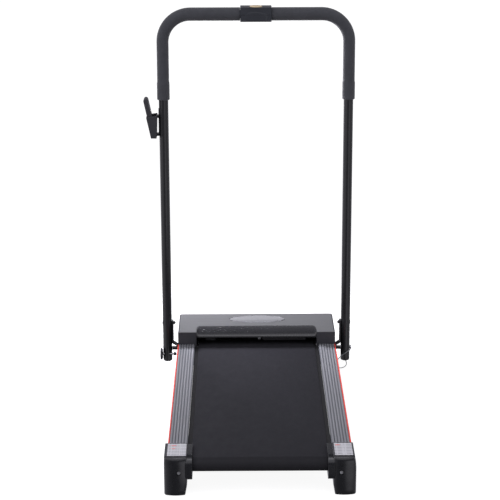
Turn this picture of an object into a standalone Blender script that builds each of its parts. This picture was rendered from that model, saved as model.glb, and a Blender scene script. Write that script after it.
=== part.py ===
"""Folding walking treadmill with a U-shaped handrail, for Blender 4.5 (metres, +Z up).

The treadmill is drawn about its own middle plane, x = 0, with the user's end at -Y and the motor
at +Y, standing on z = 0.  An empty, treadmill, then shifts it along X, so that the whole box,
remote control included, is centred on the world's origin.
"""
import math

import bmesh
import bpy
from mathutils import Vector

# ------------------------------------------------------------------ driving dimensions
GAP = 0.0003            # clearance kept between pieces that touch
MID_X = 0.0184          # middle plane of the deck: the remote makes the left side wider

FLOOR_TO_RAIL = 0.1095  # top of the foot rails
BELT_WIDTH = 0.360
BELT_THICK = 0.002
BELT_TOP = 0.103
ROLLER_RADIUS = 0.0177
REAR_ROLLER_Y = -0.520
FRONT_ROLLER_Y = 0.390
SHAFT_RADIUS = 0.006

FRAME_IN, FRAME_OUT = 0.2000, 0.2400      # steel side tubes, inner and outer face
FRAME_LOW, FRAME_TOP = 0.0438, 0.0955
FRAME_REAR, FRAME_FRONT = -0.5385, 0.4900
FRAME_WALL = 0.002

RAIL_IN, RAIL_OUT = 0.1920, 0.2405        # ribbed foot rails
SKIRT_OUT = 0.2440
SKIRT_LOW = 0.0450
TRIM_OUT = 0.2445
RIB_COUNT = 6
RIB_DEPTH = 0.0022
CAP_FRONT, CAP_REAR = -0.4490, -0.5460    # rear end caps
CAP_TOP = 0.1110
CAP_OUT = 0.2525
EAR_IN = 0.1780                           # the cap's ear, round the end of the rear roller
EAR_RADIUS, EAR_CLEAR, EAR_LOW = 0.0265, 0.0228, 0.0450
ADJUSTER_X, ADJUSTER_Z = 0.2130, 0.0660   # belt adjusting screws, behind the rear caps
ADJUSTER_THREAD, ADJUSTER_HOLE = 0.0030, 0.0034
COVER_REAR, COVER_FRONT = 0.3370, 0.5460  # motor cover
COVER_TOP, COVER_LOW = 0.1465, 0.0985
COVER_EDGE = 0.5150                       # where its flat top ends and the front slope begins
COVER_STEP = 0.4320                       # in front of this its side walls reach down to the pan
PANEL_HALF, PANEL_TOP = 0.2400, 0.1490
COVER_HALF = 0.2435
COVER_WALL = 0.003
SHROUD_HALF = 0.1862
SHROUD_Y = 0.3970
SHROUD_DEPTH, SHROUD_RISE, SHROUD_WALL = 0.0525, 0.0200, 0.0030
DISPLAY_CENTRE, DISPLAY_HALF = (0.0020, 0.4610), (0.0885, 0.0345)
PAN_LOW, PAN_TOP = 0.0415, 0.0435

HANDLE_Y = 0.3970                         # plane of the handrail
UPRIGHT_X = 0.2785
UPRIGHT_RADIUS = 0.0143
UPRIGHT_BORE = 0.0130
GRIP_TUBE_RADIUS = 0.0127
UPRIGHT_LOW, UPRIGHT_TOP = 0.0410, 0.9210
FOAM_LOW = 0.8700
BAR_Z = 1.1270
BEND_RADIUS = 0.0830
FOAM_LEG, FOAM_JOINT, FOAM_BAR = 0.0179, 0.0190, 0.0198   # outer radii along the foam
SLEEVE_HALF = 0.0465
SLEEVE_DEPTH = 0.0240
SLEEVE_LOW, SLEEVE_TOP = 1.1060, 1.1495
BUTTON_RADIUS = 0.0185
BUTTON_SEAT = SLEEVE_TOP - 0.0050

PIVOT_Z = 0.1610                          # handle fold
PIVOT_BOLT_RADIUS = 0.0030
LOCK_Z = 0.0770                           # lock pin and spacer
KNOB_Z = 0.0600
KNOB_Y = 0.3900
BRACKET_HALF = 0.0100
PLATE_IN, PLATE_OUT = 0.2592, 0.2639

MOTOR_Y, MOTOR_Z, MOTOR_RADIUS = 0.4870, 0.0920, 0.0370
ROLLER_PULLEY_RADIUS, MOTOR_PULLEY_RADIUS = 0.0250, 0.0120
PULLEY_X = (0.1875, 0.1985)

WHEEL_Y, WHEEL_Z, WHEEL_RADIUS = 0.5200, 0.0215, 0.0180
WHEEL_X, AXLE_RADIUS = (0.1855, 0.2010), 0.0040

REMOTE_TILT = math.radians(12.0)          # leans outwards in its pocket
REMOTE_SIZE = (0.0140, 0.0400, 0.1105)    # thickness, width, length
POCKET_HALF, POCKET_LOW, POCKET_FLOOR = 0.0235, 0.7545, 0.7655
CLIP_LOW, CLIP_HIGH = 0.7595, 0.8430
REMOTE_BUTTONS = {"plus": 0.0870, "minus": 0.0710}

INLET_X, SWITCH_X, INLET_Z = -0.1200, -0.1650, 0.0850
LANYARD_RADIUS = 0.0011
LANYARD_ROUTE = [          # from the plug under the right upright to the head of the lock pin
    (0.2800, 0.3970, 0.0336), (0.2822, 0.3968, 0.0290), (0.2836, 0.3960, 0.0230),
    (0.2815, 0.3950, 0.0160), (0.2740, 0.3935, 0.0105), (0.2650, 0.3915, 0.0092),
    (0.2565, 0.3890, 0.0130), (0.2525, 0.3865, 0.0220), (0.2530, 0.3845, 0.0330),
    (0.2570, 0.3820, 0.0435), (0.2640, 0.3800, 0.0520), (0.2725, 0.3794, 0.0590),
    (0.2810, 0.3798, 0.0650), (0.2885, 0.3816, 0.0700), (0.2942, 0.3846, 0.0738),
    (0.2965, 0.3888, 0.0760)]
ROUND, MEDIUM, SMALL = 24, 16, 12         # sides of round pieces

ROLLER_Z = BELT_TOP - BELT_THICK - GAP - ROLLER_RADIUS
TUBE_OUT = UPRIGHT_X + UPRIGHT_RADIUS
TUBE_IN = UPRIGHT_X - UPRIGHT_RADIUS


# ------------------------------------------------------------------ materials
def material(name, colour, roughness, metallic=0.0):
    """A plain Principled material."""
    made = bpy.data.materials.new(name)
    made.use_nodes = True
    shader = made.node_tree.nodes["Principled BSDF"]
    shader.inputs["Base Color"].default_value = (*colour, 1.0)
    shader.inputs["Roughness"].default_value = roughness
    shader.inputs["Metallic"].default_value = metallic
    return made


# ------------------------------------------------------------------ shapes
def block(low, high):
    """A box between two corners."""
    shape = bmesh.new()
    bmesh.ops.create_cube(shape, size=1.0)
    low, high = Vector(low), Vector(high)
    bmesh.ops.scale(shape, vec=high - low, verts=shape.verts)
    bmesh.ops.translate(shape, vec=(low + high) / 2, verts=shape.verts)
    return shape


def on_axis(axis, across, up, along):
    """The point whose distance along the axis is given, with its two other coordinates in order."""
    return {"X": (along, across, up), "Y": (across, along, up), "Z": (across, up, along)}[axis]


def extruded(outline, axis, start, end):
    """A prism: a closed outline, drawn across the axis, pulled from start to end."""
    shape = bmesh.new()
    first = [shape.verts.new(on_axis(axis, a, b, start)) for a, b in outline]
    last = [shape.verts.new(on_axis(axis, a, b, end)) for a, b in outline]
    shape.faces.new(first)
    shape.faces.new(last)
    count = len(outline)
    for i in range(count):
        j = (i + 1) % count
        shape.faces.new((first[i], first[j], last[j], last[i]))
    return shape


def band(outer, inner, axis, start, end):
    """A closed band: the space between two outlines with the same number of points."""
    shape = bmesh.new()
    loops = []
    for outline, along in ((outer, start), (outer, end), (inner, end), (inner, start)):
        loops.append([shape.verts.new(on_axis(axis, a, b, along)) for a, b in outline])
    count = len(outer)
    for loop, following in zip(loops, loops[1:] + loops[:1]):
        for i in range(count):
            j = (i + 1) % count
            shape.faces.new((loop[i], loop[j], following[j], following[i]))
    return shape


def turned(profile, axis, centre, sides, closed=False, ripple=None):
    """A turned piece.  profile holds (along, radius); radius 0 is a point on the axis.

    ripple(angle, along) scales the radius, for flutes round a knob.
    """
    shape = bmesh.new()
    rings = []
    for along, radius in profile:
        if radius == 0:
            rings.append([shape.verts.new(on_axis(axis, *centre, along))])
            continue
        ring = []
        for i in range(sides):
            angle = 2 * math.pi * i / sides
            reach = radius * (ripple(angle, along) if ripple else 1.0)
            across = centre[0] + reach * math.cos(angle)
            up = centre[1] + reach * math.sin(angle)
            ring.append(shape.verts.new(on_axis(axis, across, up, along)))
        rings.append(ring)
    pairs = list(zip(rings, rings[1:]))
    if closed:
        pairs.append((rings[-1], rings[0]))
    for ring, following in pairs:
        for i in range(sides):
            j = (i + 1) % sides
            if len(ring) == 1:
                shape.faces.new((ring[0], following[j], following[i]))
            elif len(following) == 1:
                shape.faces.new((ring[i], ring[j], following[0]))
            else:
                shape.faces.new((ring[i], ring[j], following[j], following[i]))
    return shape


def rod(axis, centre, radius, start, end, sides=MEDIUM):
    """A plain round bar."""
    return turned([(start, 0), (start, radius), (end, radius), (end, 0)], axis, centre, sides)


def pipe(axis, centre, outer, inner, start, end, sides=ROUND):
    """A plain round tube."""
    profile = [(start, outer), (end, outer), (end, inner), (start, inner)]
    return turned(profile, axis, centre, sides, closed=True)


def swept(path, outer, inner, sides):
    """A tube along a path in the handle's plane; outer and inner give the radii at each point."""
    shape = bmesh.new()
    skins = []
    for radii in (outer, inner):
        rings = []
        for i, point in enumerate(path):
            before = path[max(i - 1, 0)]
            after = path[min(i + 1, len(path) - 1)]
            heading = (after - before).normalized()
            sideways = Vector((-heading.z, 0, heading.x))
            ring = []
            for k in range(sides):
                angle = 2 * math.pi * k / sides
                spoke = math.cos(angle) * sideways + math.sin(angle) * Vector((0, 1, 0))
                ring.append(shape.verts.new(point + radii[i] * spoke))
            rings.append(ring)
        skins.append(rings)
    outside, inside = skins
    pairs = list(zip(outside, outside[1:])) + list(zip(inside, inside[1:]))
    pairs += [(outside[0], inside[0]), (outside[-1], inside[-1])]
    for ring, following in pairs:
        for k in range(sides):
            m = (k + 1) % sides
            shape.faces.new((ring[k], ring[m], following[m], following[k]))
    return shape


def arc(centre, radius, start, end, steps, squash=1.0):
    """Points of an arc, angles in degrees; squash flattens it in its second coordinate."""
    points = []
    for i in range(steps + 1):
        angle = math.radians(start + (end - start) * i / steps)
        points.append((centre[0] + radius * math.cos(angle),
                       centre[1] + radius * squash * math.sin(angle)))
    return points


def chamfer(shape, width, wanted, segments=1):
    """Bevel the edges that wanted(edge) picks."""
    edges = [edge for edge in shape.edges if wanted(edge)]
    bmesh.ops.bevel(shape, geom=edges, offset=width, segments=segments, affect="EDGES", profile=0.5)
    return shape


# ------------------------------------------------------------------ objects
def empty(name, position, parent=None, tilt=0.0):
    """An empty on a joint's axis, tilted about Y where the joint is."""
    made = bpy.data.objects.new(name, None)
    bpy.context.scene.collection.objects.link(made)
    made.location = position
    made.rotation_euler = (0, tilt, 0)
    made.parent = parent
    return made


def solid(name, shape, finish, parent, centre=(0, 0, 0), side=1, smooth=True):
    """Make an object of a shape.  centre is its parent's own place in the treadmill's frame."""
    if side < 0:
        bmesh.ops.scale(shape, vec=(-1, 1, 1), verts=shape.verts)
    bmesh.ops.translate(shape, vec=-Vector(centre), verts=shape.verts)
    bmesh.ops.recalc_face_normals(shape, faces=shape.faces)
    mesh = bpy.data.meshes.new(name)
    shape.to_mesh(mesh)
    shape.free()
    made = bpy.data.objects.new(name, mesh)
    bpy.context.scene.collection.objects.link(made)
    made.parent = parent
    if finish:
        mesh.materials.append(finish)
    if smooth:
        mesh.shade_smooth()
        mesh.set_sharp_from_angle(angle=math.radians(35))
    return made


def combine(target, operation, shapes, centre=(0, 0, 0), side=1):
    """Cut shapes out of an object (DIFFERENCE) or weld them onto it (UNION)."""
    for shape in shapes:
        tool = solid("tool", shape, None, target.parent, centre, side, smooth=False)
        change = target.modifiers.new("change", "BOOLEAN")
        change.operation = operation
        change.object = tool
        view = bpy.context.evaluated_depsgraph_get()
        result = bpy.data.meshes.new_from_object(target.evaluated_get(view))
        target.modifiers.clear()
        target.data = result
        bpy.data.objects.remove(tool)
    target.data.name = target.name
    target.data.shade_smooth()
    target.data.set_sharp_from_angle(angle=math.radians(35))
    return target


# ------------------------------------------------------------------ chassis
def build_frame(root, paint, side, word):
    """A steel side tube with a closed rear end, and slots for the roller shafts."""
    tube = solid(f"frame_rail_{word}", block((FRAME_IN, FRAME_REAR, FRAME_LOW),
                                             (FRAME_OUT, FRAME_FRONT, FRAME_TOP)),
                 paint, root, side=side)
    wall, slot = FRAME_WALL, SHAFT_RADIUS + GAP
    hollow = block((FRAME_IN + wall, FRAME_REAR + 0.003, FRAME_LOW + wall),
                   (FRAME_OUT - wall, FRAME_FRONT + 0.01, FRAME_TOP - wall))
    rear_slot = block((FRAME_IN - 0.01, REAR_ROLLER_Y - 0.012, ADJUSTER_Z - 0.009),
                      (FRAME_IN + 0.004, REAR_ROLLER_Y + 0.012, ROLLER_Z + slot))
    front_slot = block((FRAME_IN - 0.01, FRONT_ROLLER_Y - slot, ROLLER_Z - slot),
                       (FRAME_IN + 0.004, FRONT_ROLLER_Y + slot, ROLLER_Z + slot))
    screw_hole = rod("Y", (ADJUSTER_X, ADJUSTER_Z), ADJUSTER_HOLE, FRAME_REAR - 0.01, FRAME_REAR + 0.01,
                     SMALL)
    combine(tube, "DIFFERENCE", (hollow, rear_slot, front_slot, screw_hole), side=side)


def build_foot_rail(root, grey, red, side, word):
    """A ribbed extrusion over the frame tube, with a red strip along its outer edge."""
    pitch = (RAIL_OUT - RAIL_IN) / RIB_COUNT
    top, floor = FLOOR_TO_RAIL, FLOOR_TO_RAIL - RIB_DEPTH
    ribs = []
    for i in range(RIB_COUNT):
        x = RAIL_IN + i * pitch
        ribs += [(x, floor), (x + 0.28 * pitch, floor), (x + 0.42 * pitch, top), (x + 0.86 * pitch, top)]
    under, ledge = 0.0995, FRAME_TOP + GAP
    outline = ribs + [
        (RAIL_OUT, floor), (RAIL_OUT, 0.0985 - GAP), (SKIRT_OUT, 0.0985 - GAP),
        (SKIRT_OUT, SKIRT_LOW), (FRAME_OUT + GAP, SKIRT_LOW), (FRAME_OUT + GAP, ledge),
        (0.2330, ledge), (0.2330, under), (0.2042, under), (0.2042, ledge), (0.2012, ledge),
        (0.2012, under), (RAIL_IN, under)]
    start, end = CAP_FRONT + GAP, COVER_REAR - GAP
    solid(f"foot_rail_{word}", extruded(outline, "Y", start, end), grey, root, side=side)
    strip = block((RAIL_OUT + GAP, start, 0.0985), (TRIM_OUT, end, FLOOR_TO_RAIL))
    solid(f"trim_strip_{word}", strip, red, root, side=side)


def build_end_cap(root, plastic, side, word):
    """The rear cap: it stands on the floor, holds the frame's end and guards the roller's end."""
    outline = [(CAP_FRONT, 0.0)] + arc((CAP_REAR + 0.022, 0.014), 0.016, 270, 195, 5, 0.875)
    outline += [(CAP_REAR, 0.050), (CAP_REAR, 0.088)]
    outline += arc((CAP_REAR + 0.0105, CAP_TOP - 0.010), 0.010, 180, 90, 4)
    outline += [(CAP_FRONT, CAP_TOP)]
    body = extruded(outline, "X", RAIL_IN, CAP_OUT)
    chamfer(body, 0.003, lambda edge: all(abs(v.co.x - CAP_OUT) < 1e-6 for v in edge.verts)
            and not all(v.co.y > CAP_FRONT - 1e-6 for v in edge.verts), segments=2)
    cap = solid(f"end_cap_{word}", body, plastic, root, side=side)
    ear_front = CAP_FRONT - 0.001
    ear_outline = [(ear_front, EAR_LOW), (ear_front, ROLLER_Z + EAR_RADIUS)]
    ear_outline += arc((REAR_ROLLER_Y, ROLLER_Z), EAR_RADIUS, 90, 180, 7)
    ear_outline += arc((REAR_ROLLER_Y - EAR_RADIUS + 0.013, EAR_LOW + 0.013), 0.013, 180, 270, 5)
    combine(cap, "UNION", (extruded(ear_outline, "X", EAR_IN, RAIL_IN + 0.001),), side=side)
    belt_way = [(CAP_FRONT + 0.01, ROLLER_Z - EAR_CLEAR), (CAP_FRONT + 0.01, ROLLER_Z + EAR_CLEAR)]
    belt_way += arc((REAR_ROLLER_Y, ROLLER_Z), EAR_CLEAR, 90, 270, 14)
    combine(cap, "DIFFERENCE", (extruded(belt_way, "X", EAR_IN - 0.01, 0.1866),), side=side)
    socket = block((FRAME_IN - GAP, FRAME_REAR - GAP, FRAME_LOW - GAP),
                   (FRAME_OUT + GAP, CAP_FRONT + 0.01, FRAME_TOP + GAP))
    hollow = block((0.1960, CAP_REAR + 0.010, 0.005), (0.2485, CAP_FRONT + 0.01, 0.0385))
    slot = SHAFT_RADIUS + GAP
    shaft_way = block((EAR_IN - 0.01, REAR_ROLLER_Y - 0.012, ROLLER_Z - slot),
                      (FRAME_IN + 0.001, REAR_ROLLER_Y + 0.012, ROLLER_Z + slot))
    screw_way = rod("Y", (ADJUSTER_X, ADJUSTER_Z), 0.0062, CAP_REAR - 0.01, FRAME_REAR + 0.001)
    combine(cap, "DIFFERENCE", (socket, hollow, shaft_way, screw_way), side=side)


def build_adjuster(turn, steel, side, word, centre):
    """A socket screw that pulls a block on the rear roller's shaft backwards."""
    head, seat, tip, thread = FRAME_REAR - 0.0055, FRAME_REAR - GAP, REAR_ROLLER_Y + 0.020, ADJUSTER_THREAD
    profile = [(head + 0.003, 0), (head + 0.003, 0.0022), (head, 0.0025), (head, 0.0046),
               (seat, 0.0050), (seat, thread), (tip - 0.002, thread), (tip, thread - 0.001), (tip, 0)]
    screw = turned(profile, "Y", (side * ADJUSTER_X, ADJUSTER_Z), SMALL)
    solid(f"adjuster_screw_{word}", screw, steel, turn, centre)


def build_rollers(root, spin_rear, spin_front, steel):
    """Two hollow rollers, each with its dead shaft; the front one carries the driven pulley."""
    half, skin, disc, bore = 0.1842, 0.0025, 0.010, SHAFT_RADIUS + 0.0004
    shell = [(-half, bore), (-half, ROLLER_RADIUS), (half, ROLLER_RADIUS), (half, bore),
             (half - disc, bore), (half - disc, ROLLER_RADIUS - skin),
             (disc - half, ROLLER_RADIUS - skin), (disc - half, bore)]
    rear = (REAR_ROLLER_Y, ROLLER_Z)
    solid("rear_roller", turned(shell, "X", rear, ROUND, closed=True), steel, spin_rear, (0, *rear))
    front = (FRONT_ROLLER_Y, ROLLER_Z)
    pulley_in, pulley_out = PULLEY_X
    rim = ROLLER_PULLEY_RADIUS
    driven = shell[:3] + [(pulley_in - 0.001, ROLLER_RADIUS), (pulley_in - 0.001, rim + 0.0015),
                          (pulley_in, rim + 0.0015), (pulley_in, rim), (pulley_out, rim),
                          (pulley_out, bore)] + shell[4:]
    solid("front_roller", turned(driven, "X", front, ROUND, closed=True), steel, spin_front, (0, *front))
    solid("front_roller_shaft", rod("X", front, SHAFT_RADIUS, -0.2370, 0.2370), steel, root)
    shaft = solid("rear_roller_shaft", rod("X", rear, SHAFT_RADIUS, -0.2270, 0.2270), steel, root)
    for side in (1, -1):
        x, y, half = side * ADJUSTER_X, REAR_ROLLER_Y, 0.008
        pulled = block((x - half, y - half, ADJUSTER_Z - 0.0085), (x + half, y + half, ROLLER_Z - 0.003))
        combine(shaft, "UNION", (pulled,))
        hole = rod("Y", (x, ADJUSTER_Z), ADJUSTER_HOLE, y - 0.01, y + 0.01, SMALL)
        combine(shaft, "DIFFERENCE", (hole,))


def belt_loop(radius, steps=12):
    """The belt's path round both rollers, at a distance from the roller axes."""
    points = arc((REAR_ROLLER_Y, ROLLER_Z), radius, 270, 90, steps)
    points += arc((FRONT_ROLLER_Y, ROLLER_Z), radius, 90, -90, steps)
    return points


def build_deck(root, rubber, board, paint, belt):
    """The board that the belt slides on, its cushions and the cross members, inside the belt."""
    inside = ROLLER_RADIUS + GAP
    loop = band(belt_loop(inside + BELT_THICK), belt_loop(inside), "X", -BELT_WIDTH / 2, BELT_WIDTH / 2)
    solid("walking_belt", loop, belt, root)
    deck_top = BELT_TOP - BELT_THICK - GAP
    deck_low = deck_top - 0.012
    narrow, wide = 0.1860, RAIL_IN - GAP        # it fills the way between the rails
    rear, front = CAP_FRONT + 2 * GAP, COVER_REAR - 2 * GAP
    half = [(narrow, -0.4950), (narrow, rear), (wide, rear), (wide, front), (narrow, front),
            (narrow, 0.3600)]
    sheet = half + [(-x, y) for x, y in reversed(half)]
    solid("deck_board", extruded(sheet, "Z", deck_low, deck_top), board, root)
    pad_low = deck_low - GAP - 0.0043
    for side, word in ((1, "right"), (-1, "left")):
        pad = block((0.1400, -0.3700, pad_low), (0.1650, 0.3150, deck_low - GAP))
        solid(f"deck_cushion_{word}", pad, rubber, root, side=side)
    beam_top = pad_low - GAP
    beam_low = 0.0668
    for word, y in (("rear", -0.350), ("front", 0.290)):
        low, high = (-FRAME_IN + GAP, y - 0.020, beam_low), (FRAME_IN - GAP, y + 0.020, beam_top)
        beam = solid(f"cross_member_{word}", block(low, high), paint, root)
        inner_low = (low[0] - 0.01, low[1] + FRAME_WALL, low[2] + FRAME_WALL)
        inner_high = (high[0] + 0.01, high[1] - FRAME_WALL, high[2] - FRAME_WALL)
        combine(beam, "DIFFERENCE", (block(inner_low, inner_high),))


# ------------------------------------------------------------------ motor end
def oval(centre, half_x, half_y, steps=28):
    """An oval outline in X and Y."""
    return [(centre[0] + half_x * math.cos(2 * math.pi * i / steps),
             centre[1] + half_y * math.sin(2 * math.pi * i / steps)) for i in range(steps)]


def cover_roof(inset):
    """The cover's top and front in Y and Z, from its rear edge to its front face, shrunk by inset."""
    rear, front, top = COVER_REAR + inset, COVER_FRONT - inset, COVER_TOP - inset
    nose = arc((front - 0.014, top - 0.020), 0.014, 60, 5, 4)
    return [(rear, top), (COVER_EDGE, top)] + nose + [(front, 0.1000)]


def build_cover(root, plastic, brushed, gloss, glass):
    """The motor cover with its top panel, the shroud over the belt and the oval display."""
    outline = cover_roof(0.0) + [(COVER_FRONT, PAN_LOW), (COVER_STEP, PAN_LOW), (COVER_STEP, COVER_LOW),
                                 (COVER_REAR, COVER_LOW)]
    cover = solid("motor_cover", extruded(outline, "X", -COVER_HALF, COVER_HALF), plastic, root)
    inside = cover_roof(COVER_WALL) + [(COVER_FRONT - COVER_WALL, 0.03), (COVER_REAR + COVER_WALL, 0.03)]
    hollow = extruded(inside, "X", COVER_WALL - COVER_HALF, COVER_HALF - COVER_WALL)
    mouth = block((-SHROUD_HALF - GAP, COVER_REAR - 0.01, 0.05),
                  (SHROUD_HALF + GAP, SHROUD_Y + GAP, COVER_TOP + 0.01))
    inlet = block((INLET_X - 0.0138, COVER_FRONT - 0.01, INLET_Z - 0.0103),
                  (INLET_X + 0.0138, COVER_FRONT + 0.01, INLET_Z + 0.0103))
    switch = block((SWITCH_X - 0.0068, COVER_FRONT - 0.01, INLET_Z - 0.0108),
                   (SWITCH_X + 0.0068, COVER_FRONT + 0.01, INLET_Z + 0.0108))
    combine(cover, "DIFFERENCE", (hollow, mouth, inlet, switch))

    low = COVER_TOP + GAP
    sheet = block((-PANEL_HALF, COVER_REAR, low), (PANEL_HALF, COVER_EDGE, PANEL_TOP))
    panel = solid("cover_top_panel", sheet, brushed, root)
    notch = block((-SHROUD_HALF - GAP, COVER_REAR - 0.01, low - 0.01),
                  (SHROUD_HALF + GAP, SHROUD_Y + GAP, PANEL_TOP + 0.01))
    window = extruded(oval(DISPLAY_CENTRE, DISPLAY_HALF[0] + GAP, DISPLAY_HALF[1] + GAP), "Z",
                      low - 0.01, PANEL_TOP + 0.01)
    combine(panel, "DIFFERENCE", (notch, window))
    lens = extruded(oval(DISPLAY_CENTRE, *DISPLAY_HALF), "Z", low, PANEL_TOP + 0.0018)
    chamfer(lens, 0.0012, lambda edge: all(v.co.z > PANEL_TOP for v in edge.verts))
    solid("display_lens", lens, glass, root)

    depth, rise, skin = SHROUD_DEPTH, SHROUD_RISE, SHROUD_WALL
    foot = COVER_TOP + 0.0020 - rise
    quarter = arc((SHROUD_Y, foot), depth, 180, 90, 10, rise / depth)
    dome = extruded(quarter + [(SHROUD_Y, foot)], "X", -SHROUD_HALF, SHROUD_HALF)
    shroud = solid("belt_shroud", dome, gloss, root)
    inner = arc((SHROUD_Y, foot), depth - skin, 180, 90, 10, (rise - skin) / (depth - skin))
    behind = SHROUD_Y + 0.01
    inner += [(behind, inner[-1][1]), (behind, foot - 0.01), (inner[0][0], foot - 0.01)]
    combine(shroud, "DIFFERENCE", (extruded(inner, "X", skin - SHROUD_HALF, SHROUD_HALF - skin),))


def build_motor(root, spin, steel, dark, rubber, circuit):
    """The drive motor, its rotor with fan and pulley, the drive belt and the control board."""
    centre = (MOTOR_Y, MOTOR_Z)
    bore = 0.0054
    can = [(0.020, bore), (0.020, MOTOR_RADIUS - 0.004), (0.024, MOTOR_RADIUS), (0.156, MOTOR_RADIUS),
           (0.160, MOTOR_RADIUS - 0.004), (0.160, bore)]
    motor = solid("motor", turned(can, "X", centre, ROUND, closed=True), dark, root)
    foot = block((0.040, MOTOR_Y - 0.030, PAN_TOP + GAP), (0.140, MOTOR_Y + 0.030, MOTOR_Z - 0.026))
    combine(motor, "UNION", (foot,))
    pulley_in, pulley_out = PULLEY_X
    flange = MOTOR_PULLEY_RADIUS + 0.0020
    rotor = [(0.0060, 0), (0.0060, 0.0290), (0.0140, 0.0290), (0.0140, 0.0050),
             (pulley_in - 0.0012, 0.0050), (pulley_in - 0.0012, flange), (pulley_in, flange),
             (pulley_in, MOTOR_PULLEY_RADIUS), (pulley_out, MOTOR_PULLEY_RADIUS), (pulley_out, 0)]
    solid("motor_rotor", turned(rotor, "X", centre, ROUND), steel, spin, (0, *centre))

    def hull(extra):
        """The drive belt's path: two arcs joined by the straight runs that touch both pulleys."""
        span = Vector((MOTOR_Y - FRONT_ROLLER_Y, MOTOR_Z - ROLLER_Z))
        lean = math.degrees(math.atan2(span.y, span.x))
        spread = math.degrees(math.acos((ROLLER_PULLEY_RADIUS - MOTOR_PULLEY_RADIUS) / span.length))
        low, high = lean - spread, lean + spread
        big = arc((FRONT_ROLLER_Y, ROLLER_Z), ROLLER_PULLEY_RADIUS + extra, high, low + 360, 14)
        small = arc(centre, MOTOR_PULLEY_RADIUS + extra, low, high, 8)
        return big + small

    loop = band(hull(GAP + 0.0018), hull(GAP), "X", pulley_in + 0.0006, pulley_out)
    solid("drive_belt", loop, rubber, root)

    board_low, board_top = 0.0535, 0.0551
    sheet = block((-0.1700, 0.4450, board_low), (-0.0300, 0.5120, board_top))
    board = solid("control_board", sheet, circuit, root)
    legs = [block((x, y, PAN_TOP + GAP), (x + 0.006, y + 0.006, board_low + 0.0005))
            for x in (-0.168, -0.038) for y in (0.447, 0.504)]
    parts = [block((-0.1600, 0.4520, board_top - 0.0005), (-0.1300, 0.5050, 0.0900)),
             block((-0.1150, 0.4600, board_top - 0.0005), (-0.0850, 0.4850, 0.0800)),
             block((-0.0700, 0.4600, board_top - 0.0005), (-0.0450, 0.5000, 0.0690))]
    combine(board, "UNION", legs + parts)


def build_base(root, paint, plastic, steel, rubber):
    """The pan under the motor, with lugs for the wheels' axle, and the rubber feet."""
    half, pan_front = COVER_HALF - COVER_WALL - 0.0008, COVER_FRONT - COVER_WALL - GAP
    sheet = block((-half, COVER_STEP + 0.001, PAN_LOW), (half, pan_front, PAN_TOP))
    pan = solid("bottom_pan", sheet, paint, root)
    lugs = []
    wheel_in, wheel_out = WHEEL_X
    for side in (1, -1):
        for start, end in ((wheel_in - 0.0065, wheel_in - 0.0010),
                           (wheel_out + 0.0010, wheel_out + 0.0065)):
            near, far = sorted((side * start, side * end))
            lugs.append(block((near, WHEEL_Y - 0.010, WHEEL_Z - 0.009),
                              (far, WHEEL_Y + 0.010, PAN_LOW + 0.0005)))
    combine(pan, "UNION", lugs)
    combine(pan, "DIFFERENCE", (rod("X", (WHEEL_Y, WHEEL_Z), AXLE_RADIUS + GAP, -0.25, 0.25, SMALL),))
    reach = wheel_out + 0.0090
    solid("wheel_axle", rod("X", (WHEEL_Y, WHEEL_Z), AXLE_RADIUS, -reach, reach, SMALL), steel, root)
    for side, word in ((1, "right"), (-1, "left")):
        foot = [(0.0, 0), (0.0, 0.0165), (0.003, 0.0180), (0.014, 0.0180), (0.018, 0.0120),
                (PAN_LOW - GAP, 0.0120), (PAN_LOW - GAP, 0)]
        solid(f"front_foot_{word}", turned(foot, "Z", (side * 0.190, 0.4580), MEDIUM), rubber, root)
        turn = empty(f"wheel_turn_{word}", (0, WHEEL_Y, WHEEL_Z), root)
        bore, edge = AXLE_RADIUS + 0.0005, WHEEL_RADIUS - 0.002
        rim = [(wheel_in, bore), (wheel_in, edge), (wheel_in + 0.002, WHEEL_RADIUS),
               (wheel_out - 0.002, WHEEL_RADIUS), (wheel_out, edge), (wheel_out, bore)]
        solid(f"transport_wheel_{word}", turned(rim, "X", (WHEEL_Y, WHEEL_Z), ROUND, closed=True),
              plastic, turn, (0, WHEEL_Y, WHEEL_Z), side)


def build_inlet(root, plastic):
    """The mains inlet and the rocker switch in the cover's front wall."""
    wall_in = COVER_FRONT - COVER_WALL - 0.017
    box = block((INLET_X - 0.0135, wall_in, INLET_Z - 0.0100),
                (INLET_X + 0.0135, COVER_FRONT + 0.001, INLET_Z + 0.0100))
    body = solid("power_inlet", box, plastic, root)
    flange = block((INLET_X - 0.0165, COVER_FRONT + GAP, INLET_Z - 0.0130),
                   (INLET_X + 0.0165, COVER_FRONT + 0.003, INLET_Z + 0.0130))
    combine(body, "UNION", (flange,))
    socket = block((INLET_X - 0.0112, wall_in + 0.0025, INLET_Z - 0.0072),
                   (INLET_X + 0.0112, COVER_FRONT + 0.01, INLET_Z + 0.0072))
    combine(body, "DIFFERENCE", (socket,))
    centre = (0, COVER_FRONT - 0.0065, INLET_Z)
    turn = empty("rocker_turn", centre, root)
    back = arc(centre[1:], 0.0098, 150, 210, 4)
    face = [(centre[1] + 0.0052, centre[2] - 0.0088), (centre[1] + 0.0058, centre[2]),
            (centre[1] + 0.0088, centre[2] + 0.0068)]
    rocker = extruded(back + face, "X", SWITCH_X - 0.0064, SWITCH_X + 0.0064)
    solid("rocker_switch", rocker, plastic, turn, centre)


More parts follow.
